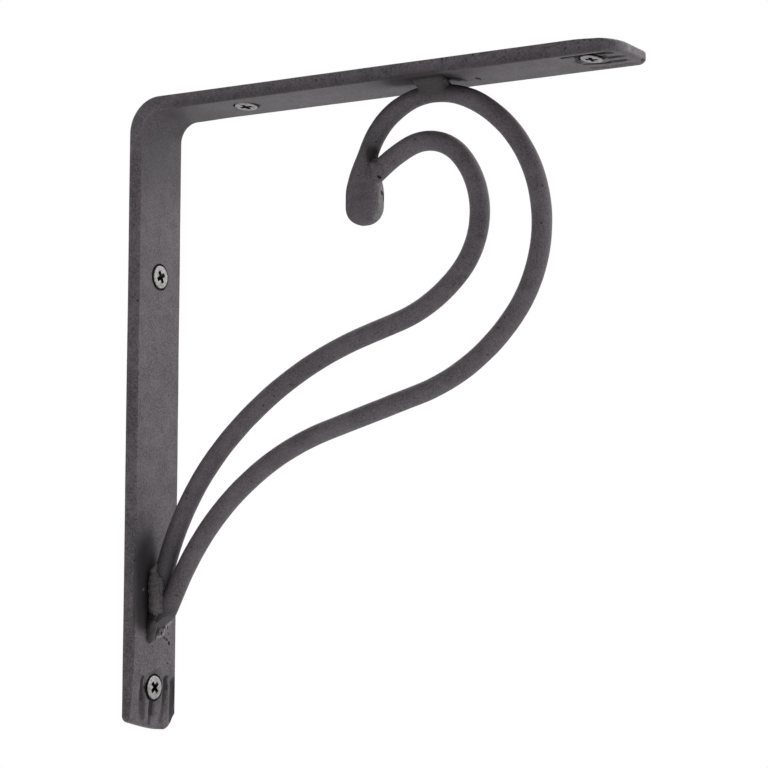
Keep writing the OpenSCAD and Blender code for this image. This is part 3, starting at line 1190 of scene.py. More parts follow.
    def _arm_ring(self, to_tip: float, depth: np.ndarray, y: np.ndarray) -> np.ndarray:
        """Places a section of the arm, drawn thinner and grooved towards its tip.

        Args:
            to_tip: Distance from the tip.
            depth: Depth of each point from the back.
            y: Place of each point across the bar.

        Returns:
            One place for each point.
        """
        back = self._blended(self._tip_line(y), to_tip, self.tip_blend)
        drawn = self.arm_draw * (1 - back / self.arm_draw_length)
        top = self._soft_floor(drawn, self.arm_draw_start)
        under = self.arm_grooves.depth_at(back, y)
        share = depth / self.thickness
        thin = self.arm_thin * smoothstep(*self.arm_thin_run, self.length - back)
        z = self.top - (top * (1 - share) + depth) + (under + thin) * share
        return np.column_stack([self.length - back, y, z])

    @staticmethod
    def _blended(line: np.ndarray, s: float, blend: float) -> np.ndarray:
        """Fits a section between the end's own line and a straight one.

        Args:
            line: Where the end lies across the bar.
            s: The section's distance from the end.
            blend: From where on the sections are straight.

        Returns:
            Distance from the end across the bar.
        """
        return line + (blend - line) * s / blend if s < blend else np.full_like(line, s)

    @staticmethod
    def _soft_floor(value: np.ndarray, softness: float) -> np.ndarray:
        """Returns the value where it is above 0 and 0 elsewhere, with a soft corner."""
        return 0.5 * (value + np.sqrt(value**2 + softness**2))

    def _caps(
        self, vertices: np.ndarray, count: int, stations: int
    ) -> tuple[np.ndarray, list[Sequence[int]]]:
        """Closes both ends with a grid between the back and front lines.

        Args:
            vertices: The sections' places.
            count: Points in a section.
            stations: Sections.

        Returns:
            All places, and the caps' faces.
        """
        across = len(np.unique(np.round(self._samples_across(), 5)))
        rows = self.rows
        faces: list[Sequence[int]] = []
        for end, flip in ((0, True), (stations - 1, False)):
            base = end * count
            grid = np.zeros((rows + 1, across), int)
            grid[0] = base + np.arange(across)
            grid[rows] = base + across + rows - 1 + np.arange(across)[::-1]
            extra = []
            for r in range(1, rows):
                grid[r, -1] = base + across + r - 1
                grid[r, 0] = base + 2 * across + (rows - 1) + (rows - 1 - r)
                for c in range(1, across - 1):
                    share = r / rows
                    extra.append(
                        vertices[grid[0, c]] * (1 - share) + vertices[grid[rows, c]] * share
                    )
                    grid[r, c] = len(vertices) + len(extra) - 1
            vertices = np.vstack([vertices, np.array(extra)])
            for r in range(rows):
                for c in range(across - 1):
                    quad = (grid[r, c], grid[r, c + 1], grid[r + 1, c + 1], grid[r + 1, c])
                    faces.append(quad[::-1] if flip else quad)
        return vertices, faces

    def _paint_marks(self, piece: bpy.types.Object, screws: "ScrewSets") -> None:
        """Stores the rubbed arrises with a painted highlight, and soot, scale and painted shade.

        Args:
            piece: The bar.
            screws: The screws, whose seats get painted shade.
        """
        at = places(piece)
        x, y, z = at.T
        bend = self._bend_outside()
        out = np.hypot(np.clip(bend - x, 0, None), np.clip(z - (self.top - bend), 0, None))
        depth = np.where(
            z < self.top - bend, x, np.where(x > bend, self.top - z, bend - out)
        )
        side = self._half() - np.abs(y)
        to_face = np.minimum(np.abs(depth), np.abs(self.thickness - depth))
        # Painted highlight: the arrises are lightened as rubbed metal and as a highlight along
        # them.
        wear = smoothstep(*self.rub_and_highlight_run, side) * smoothstep(*self.rub_and_highlight_run, to_face)
        end = smoothstep(*self.end_rub_run, self.length - x)
        end *= smoothstep(*self.rub_and_highlight_run[::-1], to_face)
        # Painted shade in and around the bend, on its faces.
        bent = smoothstep(*self.bend_shade_run, np.hypot(x - bend, self.top - bend - z))
        bent *= (to_face < self.bend_shade_depth) * (side > self.bend_shade_inset)
        # Darker towards the lower edge of the arm's near side.
        lower = smoothstep(*self.lower_darkening_run, self.thickness - depth)
        dark = [
            # Soot and painted shade on the leg beside the foot weld.
            self.foot_soot_and_shade.on(at[:, 1:]) * self.foot_zone.holds(at),
            # Soot and painted shadow under the arm by the crown weld.
            self.crown_soot_and_shade.on(at[:, :2]) * self.crown_zone.holds(at),
            self.bend_shade * bent,
            self.lower_darkening * lower * self.lower_zone.holds(at),
        ]
        sways = [wander(at, self.streak_sway_size, seed) for seed in (11.0, 13.0)]
        sway = np.column_stack(sways) * self.streak_sway
        on_leg, on_arm = self.leg_zone.holds(at), self.arm_zone.holds(at)
        # Dark scale and painted shade on the leg.
        dark += [streak.on(at[:, 1:] + sway * (1, 2)) * on_leg for streak in LEG_SHADE_AND_SCALE_STREAKS]
        # Dark scale and painted shade under the arm.
        dark += [streak.on(at[:, :2] + sway * (2, 1)) * on_arm for streak in ARM_SHADE_AND_SCALE_STREAKS]
        # Painted shade in the gap round each screw head.
        deepest, shallowest = self.seat_shade_depths
        for seat in (*screws.wall, *screws.shelf):
            offset = at - np.array(seat.place)
            out = np.array(seat.out) / np.linalg.norm(seat.out)
            sunk = offset @ out
            reach = np.linalg.norm(offset - sunk[:, None] * out, axis=1)
            inside = reach < screws.ring * seat.size + self.seat_shade_spread
            dark.append(self.seat_shade * (sunk < shallowest) * (sunk > deepest) * inside)
        store(piece.data, "wear", self.rub_and_highlight * wear + self.end_rub * end)
        store(piece.data, "soot", np.maximum.reduce(dark))


# ---- Rods ----


@dataclass(frozen=True)
class Stage:
    """One stage of a bent rod: an arc, anticlockwise when the turn is positive, or a straight."""

    radius: float = 0.0
    turn: float = 0.0
    length: float = 0.0

    def run(self) -> float:
        """Length of the stage along the rod."""
        return self.length if self.radius == 0 else self.radius * math.radians(abs(self.turn))

    def move(self, pose: Point, along: float) -> Point:
        """Where the rod is after a part of the stage.

        Args:
            pose: X, Z and direction in degrees at the start of the stage.
            along: Distance from the start of the stage.

        Returns:
            The pose there.
        """
        x, z, heading = pose
        a = math.radians(heading)
        if self.radius == 0:
            return (x + along * math.cos(a), z + along * math.sin(a), heading)
        side = math.copysign(1.0, self.turn)
        b = a + side * along / self.radius
        return (
            x + side * self.radius * (math.sin(b) - math.sin(a)),
            z - side * self.radius * (math.cos(b) - math.cos(a)),
            math.degrees(b),
        )


@dataclass(frozen=True)
class RodLine:
    """The centre line of a rod in the plane Y = 0."""

    start: Point
    stages: tuple[Stage, ...]
    spacing: float = 1.1

    def samples(self, extra: Sequence[float] = ()) -> np.ndarray:
        """Samples the line.

        Args:
            extra: Further distances from the start at which it is sampled.

        Returns:
            Rows of distance, X, Z and direction in degrees.
        """
        total = sum(stage.run() for stage in self.stages)
        marks = np.linspace(0, total, int(total / self.spacing) + 1)
        marks = np.unique(np.round(np.concatenate([marks, list(extra)]), 4))
        rows = []
        pose, passed, index = self.start, 0.0, 0
        for mark in marks:
            while index < len(self.stages) - 1 and mark > passed + self.stages[index].run():
                pose = self.stages[index].move(pose, self.stages[index].run())
                passed += self.stages[index].run()
                index += 1
            rows.append((mark, *self.stages[index].move(pose, mark - passed)))
        return np.array(rows)


@dataclass(frozen=True)
class Swell:
    """Half sizes of a rod along its line, and how square its section is."""

    wide: Callable[[np.ndarray], np.ndarray]
    thick: Callable[[np.ndarray], np.ndarray]
    square: Callable[[np.ndarray], np.ndarray]


class RodSweep(PieceTree):
    """A geometry tree that draws a section along a rod's line."""

    SIDES = 56
    DENT_SCALE = 120.0
    DENT_DEPTH = 0.22 * MM
    MERGE = 2e-6

    def __init__(self) -> None:
        """Builds the tree."""
        super().__init__("rod_sweep", Sides="Int", Depth="Float", Scale="Float", Seed="Float")

    def _form(self, g: Graph, given: bpy.types.NodeOutputs) -> bpy.types.NodeSocket:
        """Sweeps a circle, gives each ring its own half sizes, and dents the skin.

        Args:
            g: The tree's graph.
            given: The tree's inputs.

        Returns:
            The rod.
        """
        line = g.add("GeometryNodeMeshToCurve", {}, {"Mesh": given["Start"]}).outputs["Curve"]
        circle = g.add(
            "GeometryNodeCurvePrimitiveCircle", {}, {"Resolution": given["Sides"], "Radius": MM}
        ).outputs["Curve"]
        skin = g.add(
            "GeometryNodeCurveToMesh",
            {},
            {"Curve": line, "Profile Curve": circle, "Fill Caps": True},
        ).outputs["Mesh"]
        here = g.add("GeometryNodeInputPosition").outputs["Position"]
        centre = g.stored("centre", "FLOAT_VECTOR")
        inward = g.stored("inward", "FLOAT_VECTOR")
        power = Signal(g, g.stored("square"))
        spoke = g.vector("SUBTRACT", here, centre)
        parts = []
        for axis, half in ((inward, "wide"), ((0.0, 1.0, 0.0), "thick")):
            reach = Signal(g, g.vector("DOT_PRODUCT", spoke, axis, output="Value")) / MM
            bent = reach.sign() * reach.size().most(1e-6) ** power
            parts.append(g.scaled(axis, bent * Signal(g, g.stored(half)) * MM))
        formed = g.vector("ADD", centre, g.vector("ADD", parts[0], parts[1]))
        moved = g.add("GeometryNodeSetPosition", {}, {"Geometry": skin, "Position": formed})
        inputs = {"Geometry": moved.outputs[0], "Distance": self.MERGE}
        merged = g.add("GeometryNodeMergeByDistance", {}, inputs).outputs[0]
        return self.roughen(g, merged, given["Scale"], 2.0, given["Seed"], given["Depth"])

    def sweep(
        self,
        name: str,
        rows: np.ndarray,
        swell: Swell,
        material: bpy.types.Material,
        seed: float,
    ) -> bpy.types.Object:
        """Draws one rod.

        Args:
            name: The piece's name.
            rows: Samples of its line.
            swell: Its half sizes along the line.
            material: Its finish.
            seed: Which dents it has.

        Returns:
            The rod as a plain mesh.
        """
        along, x, z, heading = rows.T
        centre = np.column_stack([x, np.zeros_like(x), z]) * MM
        turned = np.radians(heading + 90)
        mesh = bpy.data.meshes.new(name)
        edges = [(i, i + 1) for i in range(len(centre) - 1)]
        mesh.from_pydata(centre.tolist(), edges, [])
        store(mesh, "centre", centre)
        store(mesh, "inward", np.column_stack([np.cos(turned), np.zeros_like(x), np.sin(turned)]))
        store(mesh, "wide", swell.wide(along))
        store(mesh, "thick", swell.thick(along))
        store(mesh, "square", swell.square(along))
        inputs = {"Sides": self.SIDES, "Depth": self.DENT_DEPTH, "Scale": self.DENT_SCALE}
        return self.grow(name, mesh, material, Seed=seed, **inputs)


@dataclass
class ScrollRods:
    """The two round rods that are bent to scrolls and meet at the foot."""

    radius: float = 3.5
    face: float = 5.4
    buried: float = 0.8
    paddle_wide: float = 6.9
    paddle_thick: float = 2.8
    paddle_square: float = 0.36
    paddle_start: tuple[float, float] = (94.0, 87.1)
    neck: tuple[float, float] = (11.0, 27.0)
    tip_power: int = 5
    crown_at: float = 59.6
    crown_flat: float = 0.35
    crown_run: tuple[float, float] = (18.0, 6.0)
    inner_wide: tuple[float, float] = (0.86, 9.0)
    inner_thick: tuple[float, float] = (0.72, 10.0)
    inner_square: tuple[float, float] = (0.8, 8.0)
    bevel: float = 33.0
    bevel_foot: float = -53.4
    bevel_reach: float = 24.0
    # Rubbed rim of the paddle, lightened also as a painted highlight on its lit edge.
    rub_and_highlight: float = 0.5
    # Painted shade on the outer rod's upper flank by the crown.
    flank_shade: float = 0.3
    flank_x: tuple[float, float] = (121.0, 106.0)
    flank_z: tuple[float, float] = (104.0, 116.0)
    flank_line: float = 8.0
    # Painted shadow along the rod's upper edge under the arm.
    edge_shadow: float = 0.9
    edge_way: Point = (0.5, 0.0, 0.86)
    edge_run: tuple[float, float] = (0.60, 0.84)
    edge_fade: tuple[float, float] = (143.0, 135.0)
    edge_zone: Zone = Zone(x=(124.0, FAR), z=(124.0, FAR))
    # Soot and painted shade at the rods' lower ends.
    tip_soot_and_shade: float = 0.62
    tip_soot_and_shade_run: tuple[float, float] = (-40.0, -48.0)
    rim_run: tuple[float, float] = (2.9, 2.3)
    rim_fade: tuple[float, float] = (103.0, 99.0)
    rim_zone: Zone = Zone(x=(98.5, 103.0), z=(86.0, FAR))
    # Soot and painted shade on the rods by the foot weld.
    foot_soot_and_shade: Patch = Patch((8, -27), (8, -27), (13, 22), (13, 22), 0.55, 1.3, 0.4)
    foot_zone: Zone = Zone(y=(-FAR, 3.0))
    # Painted shadow in the notch where the inner rod meets the curl.
    notch_shadow: Patch = Patch(
        (98.3, 111.5), (98.3, 111.5), (2.9, 2.9 / 0.6), (2.9, 2.9 / 0.6), 0.95, 1.4, 0.3
    )
    # Soot and painted shadow on the rods by the crown weld, under the arm.
    crown_soot_and_shade: Patch = Patch((126, 133), (126, 133), (16, 7), (16, 7), 0.6, 1.3, 0.4)
    outer: tuple[Stage, ...] = (
        Stage(length=16.4),
        Stage(27.5, -90),
        Stage(35, -32),
        Stage(50.5, -97),
        Stage(73, -34.5),
        Stage(length=39),
        Stage(104, 46.5),
        Stage(length=30),
    )
    inner_start: Point = (94.0, 101.0, 41.0)
    inner: tuple[Stage, ...] = (
        Stage(length=6),
        Stage(50, -18),
        Stage(18, -71),
        Stage(30.5, -85),
        Stage(55, -30),
        Stage(length=14),
        Stage(140, 28),
        Stage(105, 27),
        Stage(length=24),
    )

    def build(self, sweep: RodSweep, material: bpy.types.Material) -> list[bpy.types.Object]:
        """Builds and dresses both rods.

        Args:
            sweep: The tree that draws them.
            material: Their finish.

        Returns:
            The outer and the inner rod.
        """
        outer = self._outer(sweep, material)
        inner = self._inner(sweep, material)
        for rod, node in ((outer, "outer_scroll_rod"), (inner, "inner_scroll_rod")):
            self._paint(rod)
            dress(rod, [node], 50.0)
        return [outer, inner]

    def _outer(self, sweep: RodSweep, material: bpy.types.Material) -> bpy.types.Object:
        """Draws the outer rod, from its paddle over the crown down to the foot.

        Args:
            sweep: The tree that draws it.
            material: Its finish.

        Returns:
            The rod, with its foot cut off at a slant.
        """
        line = RodLine((*self.paddle_start, 90.0), self.outer)
        tip = self.paddle_wide * (1 - np.cos(np.radians(np.linspace(0, 90, 22))))
        rows = line.samples(list(tip) + list(np.linspace(self.paddle_wide, 30, 40)))
        low, high = self.neck

        def wide(s: np.ndarray) -> np.ndarray:
            """Gives the half size across the line.

            Args:
                s: Distances along the rod.

            Returns:
                One half size for each.
            """
            body = self.paddle_wide + (self.radius - self.paddle_wide) * smoothstep(low, high, s)
            inset = np.clip(1 - s / self.paddle_wide, 0, 1)
            crown = self.crown_flat * smoothstep(*self.crown_run, np.abs(s - self.crown_at))
            return body * np.sqrt(np.clip(1 - inset**2, 0, 1)) - crown

        def thick(s: np.ndarray) -> np.ndarray:
            """Gives the half size along Y."""
            body = self.paddle_thick + (self.radius - self.paddle_thick) * smoothstep(low, high, s)
            inset = np.clip(1 - s / self.paddle_wide, 0, 1)
            return body * np.sqrt(np.clip(1 - inset**self.tip_power, 0, 1))

        def square(s: np.ndarray) -> np.ndarray:
            """Gives 1 for a round section and less for a squarer one."""
            return self.paddle_square + (1 - self.paddle_square) * smoothstep(low, high, s)

        rod = sweep.sweep("outer_scroll", rows, Swell(wide, thick, square), material, 1.7)
        slice_off(rod, (self.face - self.buried, 0, 0), (-1, 0, 0))
        turn = math.radians(self.bevel)
        side = (math.sin(turn), 0, -math.cos(turn))
        slice_off(rod, (self.face, 0, self.bevel_foot), side, self.bevel_foot + self.bevel_reach)
        return rod

    def _inner(self, sweep: RodSweep, material: bpy.types.Material) -> bpy.types.Object:
        """Draws the inner rod, from the neck of the paddle down to the foot.

        Args:
            sweep: The tree that draws it.
            material: Its finish.

        Returns:
            The rod.
        """
        rows = RodLine(self.inner_start, self.inner).samples()

        def eased(start: float, run: float, s: np.ndarray) -> np.ndarray:
            """Gives a share that grows from start to 1 over the run."""
            return start + (1 - start) * smoothstep(0.0, run, s)

        plain = Swell(
            lambda s: self.radius * eased(*self.inner_wide, s),
            lambda s: self.radius * eased(*self.inner_thick, s),
            lambda s: eased(*self.inner_square, s),
        )
        rod = sweep.sweep("inner_scroll", rows, plain, material, 5.2)
        slice_off(rod, (self.face - self.buried, 0, 0), (-1, 0, 0))
        return rod

    def _paint(self, rod: bpy.types.Object) -> None:
        """Stores soot and painted shade near the welds and laps, and the paddle's rubbed, highlit
        rim.

        Args:
            rod: The rod.
        """
        at = places(rod)
        x, y, z = at.T
        normals = np.zeros(len(at) * 3)
        rod.data.vertices.foreach_get("normal", normals)
        upwards = normals.reshape(-1, 3) @ np.array(self.edge_way)
        # Painted shadow along the rod's upper edge under the arm.
        edge = smoothstep(*self.edge_run, upwards) * smoothstep(*self.edge_fade, x)
        # Painted shade on the outer rod's upper flank by the crown.
        flank = smoothstep(*self.flank_x, x) * smoothstep(*self.flank_z, z)
        flat = at[:, ::2]
        soot = np.maximum.reduce([
            # Soot and painted shade on the rods by the foot weld.
            self.foot_soot_and_shade.on(flat) * self.foot_zone.holds(at),
            # Painted shadow in the notch where the inner rod meets the curl.
            self.notch_shadow.on(flat),
            # Soot and painted shadow on the rods by the crown weld, under the arm.
            self.crown_soot_and_shade.on(flat),
            self.flank_shade * flank * (z - x > self.flank_line),
            self.edge_shadow * edge * self.edge_zone.holds(at),
            # Soot and painted shade at the rods' lower ends.
            self.tip_soot_and_shade * smoothstep(*self.tip_soot_and_shade_run, z),
            # Painted shadow and streaks at the laps.
            *(streak.on(flat) * LAP_ZONE.holds(at) for streak in LAP_SHADOW_AND_MARK_STREAKS),
        ])
        # Painted highlight on the paddle's rim facing +X, which is also rubbed metal.
        rim = smoothstep(*self.rim_run, np.abs(y)) * smoothstep(*self.rim_fade, z)
        store(rod.data, "soot", soot)
        store(rod.data, "wear", self.rub_and_highlight * rim * self.rim_zone.holds(at))


# ---- Welds ----


@dataclass(frozen=True)
class Bead:
    """One bead of weld metal: its centre and its radius."""

    x: float
    y: float
    z: float
    radius: float


@dataclass(frozen=True)
class BeadLine:
    """Beads laid from one place to another."""

    start: Point
    end: Point
    count: int
    radii: tuple[float, float]
    jitter: float
    seed: int

    def beads(self) -> list[Bead]:
        """Returns the beads, each a little out of line."""
        rng = np.random.default_rng(self.seed)
        made = []
        for share in np.linspace(0, 1, self.count):
            place = np.array(self.start) * (1 - share) + np.array(self.end) * share
            place += rng.uniform(-self.jitter, self.jitter, 3)
            radius = self.radii[0] * (1 - share) + self.radii[1] * share
            radius *= 1 + 0.5 * self.jitter * rng.uniform(-0.2, 0.2)
            made.append(Bead(*place, radius))
        return made


class BeadRun(PieceTree):
    """A geometry tree that runs beads of weld metal together."""

    VOXEL = 0.22 * MM
    LUMP_SCALE = 420.0

    def __init__(self) -> None:
        """Builds the tree."""
        super().__init__("bead_run", Voxel="Float", Roughness="Float", Seed="Float")

    def _form(self, g: Graph, given: bpy.types.NodeOutputs) -> bpy.types.NodeSocket:
        """Fills the beads with a volume and gives its skin lumps.

        Args:
            g: The tree's graph.
            given: The tree's inputs.

        Returns:
            The weld.
        """
        size = g.stored("bead")
        dots = g.add(
            "GeometryNodeMeshToPoints", {}, {"Mesh": given["Start"], "Radius": size}
        ).outputs[0]
        cloud = g.add(
            "GeometryNodePointsToVolume",
            {"resolution_mode": "VOXEL_SIZE"},
            {"Points": dots, "Voxel Size": given["Voxel"], "Radius": size},
        ).outputs[0]
        skin = g.add(
            "GeometryNodeVolumeToMesh",
            {"resolution_mode": "GRID"},
            {"Volume": cloud, "Threshold": 0.5},
        ).outputs[0]
        return self.roughen(g, skin, self.LUMP_SCALE, 3.0, given["Seed"], given["Roughness"])

    def lay(
        self,
        name: str,
        beads: Sequence[Bead],
        material: bpy.types.Material,
        rough: float,
        seed: float,
    ) -> bpy.types.Object:
        """Lays one weld.

        Args:
            name: The piece's name.
            beads: Its beads.
            material: Its finish.
            rough: Height of its lumps.
            seed: Which lumps.

        Returns:
            The weld as a plain mesh.
        """
        mesh = bpy.data.meshes.new(name)
        mesh.from_pydata([(b.x * MM, b.y * MM, b.z * MM) for b in beads], [], [])
        store(mesh, "bead", [b.radius * MM for b in beads])
        inputs = {"Voxel": self.VOXEL, "Roughness": rough * MM, "Seed": seed}
        return self.grow(name, mesh, material, **inputs)


@dataclass
class Welds:
    """The welds at the foot, at the crown and at the neck of the curl."""

    leg_side: float = 4.6
    arm_side: float = 135.4
    # Darker towards the lower end of the foot weld.
    tail_darkening: float = 0.68
    tail_darkening_run: tuple[float, float] = (-47.0, -51.0)
    # Darker on the foot weld's near side.
    near_side_darkening: float = 0.35
    near_side_darkening_run: tuple[float, float] = (-4.6, -6.4)
    foot: tuple[BeadLine, ...] = (
        BeadLine((8.2, -3.6, -30.9), (7.4, -4.5, -33.0), 4, (0.9, 1.4), 0.1, 3),
        BeadLine((7.9, -4.3, -34.6), (8.2, -4.4, -40.0), 7, (2.1, 2.5), 0.18, 12),
        BeadLine((8.2, -4.3, -40.8), (8.5, -4.3, -45.8), 7, (2.4, 2.5), 0.15, 8),
        BeadLine((8.0, -4.1, -46.8), (6.6, -3.9, -50.4), 5, (2.2, 1.8), 0.12, 9),
        BeadLine((9.2, -3.2, -36.5), (9.6, -3.2, -46.6), 8, (1.8, 1.9), 0.2, 4),
        BeadLine((7.8, -1.8, -47.8), (6.2, -1.2, -52.0), 6, (2.0, 1.6), 0.12, 21),
        BeadLine((6.2, -3.6, -51.2), (5.0, -3.3, -56.6), 9, (2.4, 2.2), 0.08, 5),
    )
    crown: tuple[BeadLine, ...] = (
        BeadLine((119.9, -0.8, 131.9), (126.2, -0.8, 131.9), 9, (3.3, 3.4), 0.05, 7),
        BeadLine((119.8, -1.9, 132.7), (126.4, -2.0, 132.7), 9, (2.9, 3.1), 0.08, 6),
        BeadLine((119.6, -3.2, 133.4), (126.6, -3.4, 133.4), 9, (2.5, 2.8), 0.10, 5),
        BeadLine((119.4, -4.6, 134.2), (126.7, -4.9, 134.1), 9, (2.2, 2.6), 0.12, 3),
        BeadLine((119.4, -5.9, 134.9), (126.7, -6.2, 134.8), 9, (2.0, 2.4), 0.12, 8),
    )
    curl: tuple[BeadLine, ...] = (
        BeadLine((99.6, -0.4, 107.4), (96.6, -0.3, 103.6), 7, (3.35, 3.3), 0.05, 9),
        BeadLine((98.4, 0.4, 107.4), (96.0, 0.3, 103.6), 7, (3.3, 3.3), 0.05, 4),
    )

    def build(self, run: BeadRun, material: bpy.types.Material) -> list[bpy.types.Object]:
        """Builds and dresses the welds.

        Args:
            run: The tree that lays beads.
            material: Their finish.

        Returns:
            The three welds.
        """
        made = []
        for name, node, lines, rough, seed, soot in (
            ("foot_bead", "foot_weld", self.foot, 1.0, 2.0, 0.12),
            # The crown weld is darker: weld soot and painted shade under the arm.
            ("crown_bead", "crown_weld", self.crown, 0.6, 4.0, 0.62),
            ("curl_bead", "curl_weld", self.curl, 0.2, 6.0, 0.1),
        ):
            beads = [bead for line in lines for bead in line.beads()]
            weld = run.lay(name, beads, material, rough, seed)
            self._trim(weld)
            at = places(weld)
            y, z = at[:, 1], at[:, 2]
            # Darker towards the lower end of the foot weld.
            tail = self.tail_darkening * smoothstep(*self.tail_darkening_run, z)
            # Darker on the foot weld's near side.
            tail += self.near_side_darkening * smoothstep(*self.near_side_darkening_run, y) * (z < 0)
            # Painted shadow and streaks at the laps.
            laps = [streak.on(at[:, ::2]) * LAP_ZONE.holds(at) for streak in LAP_SHADOW_AND_MARK_STREAKS]
            store(weld.data, "wear", np.zeros(len(at)))
            store(weld.data, "soot", np.maximum.reduce([np.full(len(at), soot), tail, *laps]))
            dress(weld, [node], 80.0)
            made.append(weld)
        return made

    def _trim(self, weld: bpy.types.Object) -> None:
        """Lets a weld reach only a little way into the leg and the arm."""
        slice_off(weld, (self.leg_side, 0, 0), (-1, 0, 0))
        slice_off(weld, (0, 0, self.arm_side), (0, 0, 1))


# ---- Screws ----


@dataclass(frozen=True)
class Seat:
    """Where a screw sits: its head's place, the way out, its recess's turn, and its size."""

    place: Point
    out: Point
    turn: float
    size: float = 1.0


@dataclass
class ScrewSets:
    """The countersunk screws with cross recesses."""

    head: float = 8.4
    shank: float = 4.0
    rim: float = 0.4
    stand: float = 0.45
    hole: float = 4.4
    clearance: float = 0.1
    ring: float = 4.95
    ring_depth: float = 0.6
    cover: float = 4.6
    recess: float = 5.0
    slot: float = 1.6
    core: float = 1.1
    depth: float = 1.9
    wall: tuple[Seat, ...] = (
        Seat((5.4, 0.0, 75.3), (1, 0, 0), 28.0),
        Seat((5.2, -0.35, -74.7), (1, 0, 0), 41.0),
    )
    shelf: tuple[Seat, ...] = (
        Seat((44.6, -1.9, 134.8), (-0.01, -0.13, -1), 82.0, 0.98),
        Seat((184.9, -4.7, 134.8), (-0.10, -0.11, -1), 88.0, 0.90),
    )

    def seats(self) -> bpy.types.Object:
        """Makes the cutter for all the countersunk holes.

        Returns:
            A closed object.
        """
        cone = self.head / 2 + self.clearance + self.rim - self.stand
        profile = [
            (0.0, 2.5),
            (self.ring + 0.1, 2.5),
            (self.ring + 0.1, 0.0),
            (self.ring, -0.15),
            (self.ring - 0.1, -self.ring_depth),
            (cone - self.ring_depth, -self.ring_depth - 0.02),
            (self.hole / 2, -(cone - self.hole / 2)),
            (self.hole / 2, -9.0),
            (0.0, -9.0),
        ]
        vertices, faces = self._turned(profile, 64)
        all_vertices, all_faces = [], []
        for seat in (*self.wall, *self.shelf):
            start = sum(len(v) for v in all_vertices)
            all_vertices.append(self._stood(vertices, seat))
            all_faces += [[i + start for i in f] for f in faces]
        tool = new_piece("seat_cutter", np.vstack(all_vertices), all_faces)
        face_outwards(tool)
        return tool

    def build(self, material: bpy.types.Material) -> list[bpy.types.Object]:
        """Builds and dresses both sets.

        Args:
            material: The screws' finish.

        Returns:
            The wall screws and the shelf screws.
        """
        screw = self._screw()
        tree = ScrewScatter()
        made = []
        for name, node, seats in (
            ("wall_screw_set", "wall_screws", self.wall),
            ("shelf_screw_set", "shelf_screws", self.shelf),
        ):
            piece = tree.place(name, screw, seats, material)
            dress(piece, [node], 38.0)
            made.append(piece)
        bpy.data.objects.remove(screw)
        return made

    def _screw(self) -> bpy.types.Object:
        """Makes one screw with +Z out of its face, and its recess cut.

        Returns:
            The screw.
        """
        top = self.stand
        radius = self.head / 2
        tip = self.shank / 2
        profile = [
            (0.0, top + 0.06),
            (radius * 0.6, top + 0.05),
            (radius - 0.35, top),
            (radius - 0.12, top - 0.04),
            (radius - 0.02, top - 0.14),
            (radius, top - 0.25),
            (radius, top - self.rim),
            (tip, top - self.rim - (radius - tip)),
            (tip, -self.cover),
            (0.0, -self.cover),
        ]
        vertices, faces = self._turned(profile, 96)
        screw = new_piece("screw", vertices, faces)
        face_outwards(screw)
        for turn in (0.0, 90.0):
            cut(screw, self._wing(turn))
        cut(screw, self._core())
        # Painted shade: the recess and the head's rim, below the head's top, are darkened.
        centres = np.array([tuple(face.center) for face in screw.data.polygons]) / MM
        reach = np.hypot(centres[:, 0], centres[:, 1])
        low = centres[:, 2] < top - 0.12
        soot = np.where(low & (reach < self.head / 2 - 0.6), 1.0, 0.8 * low)
        store(screw.data, "soot", soot, "FACE")
        return screw

    def _wing(self, turn: float) -> bpy.types.Object:
        """Makes the cutter of one tapered wing of the cross recess.

        Args:
            turn: Its direction in degrees.

        Returns:
            A closed object.
        """
        half = self.slot / 2
        spin = Matrix.Rotation(math.radians(turn), 3, "Z")
        levels = (
            (self.recess / 2 + 0.25, half, self.stand + 0.5),
            (self.recess / 5, half * 0.75, self.stand - self.depth + (0.02 if turn else 0.0)),
        )
        vertices = [
            tuple(spin @ Vector((sx * reach, sy * side, z)))
            for reach, side, z in levels
            for sx, sy in ((-1, -1), (1, -1), (1, 1), (-1, 1))
        ]
        sides = [(i, i + 4, (i + 1) % 4 + 4, (i + 1) % 4) for i in range(4)]
        faces = [(0, 1, 2, 3), (7, 6, 5, 4), *sides]
        tool = new_piece("wing_cutter", np.array(vertices), faces)
        face_outwards(tool)
        return tool

    def _core(self) -> bpy.types.Object:
        """Makes the cutter of the wide middle of the cross recess.

        Returns:
            A closed object.
        """
        top, floor = self.stand + 0.5, self.stand - self.depth - 0.03
        profile = [(0.0, top), (self.core, top), (self.core * 0.6, floor), (0.0, floor - 0.3)]
        vertices, faces = self._turned(profile, 14)
        tool = new_piece("core_cutter", vertices, faces)
        face_outwards(tool)
        return tool

    @staticmethod
    def _turned(profile: Sequence[tuple[float, float]], sides: int) -> tuple[np.ndarray, list]:
        """Turns a profile about Z.

        Args:
            profile: Radius and height of each point. The first and last lie on the axis.
            sides: Faces round the axis.

        Returns:
            Vertices and faces of the closed shape.
        """
        vertices = [(0.0, 0.0, profile[0][1])]
        for radius, z in profile[1:-1]:
            for i in range(sides):
                a = 2 * math.pi * i / sides
                vertices.append((radius * math.cos(a), radius * math.sin(a), z))
        vertices.append((0.0, 0.0, profile[-1][1]))
        last, rings = len(vertices) - 1, len(profile) - 2
        faces = []
        for i in range(sides):
            j = (i + 1) % sides
            faces.append((0, 1 + i, 1 + j))
            for r in range(rings - 1):
                a, b = 1 + r * sides, 1 + (r + 1) * sides
                faces.append((a + i, b + i, b + j, a + j))
            tail = 1 + (rings - 1) * sides
            faces.append((last, tail + j, tail + i))
        return np.array(vertices), faces

    @staticmethod
    def _stood(vertices: np.ndarray, seat: Seat) -> np.ndarray:
        """Places vertices in a seat."""
        turn = Vector((0, 0, 1)).rotation_difference(Vector(seat.out)).to_matrix()
        return seat.size * vertices @ np.array(turn).T + np.array(seat.place)


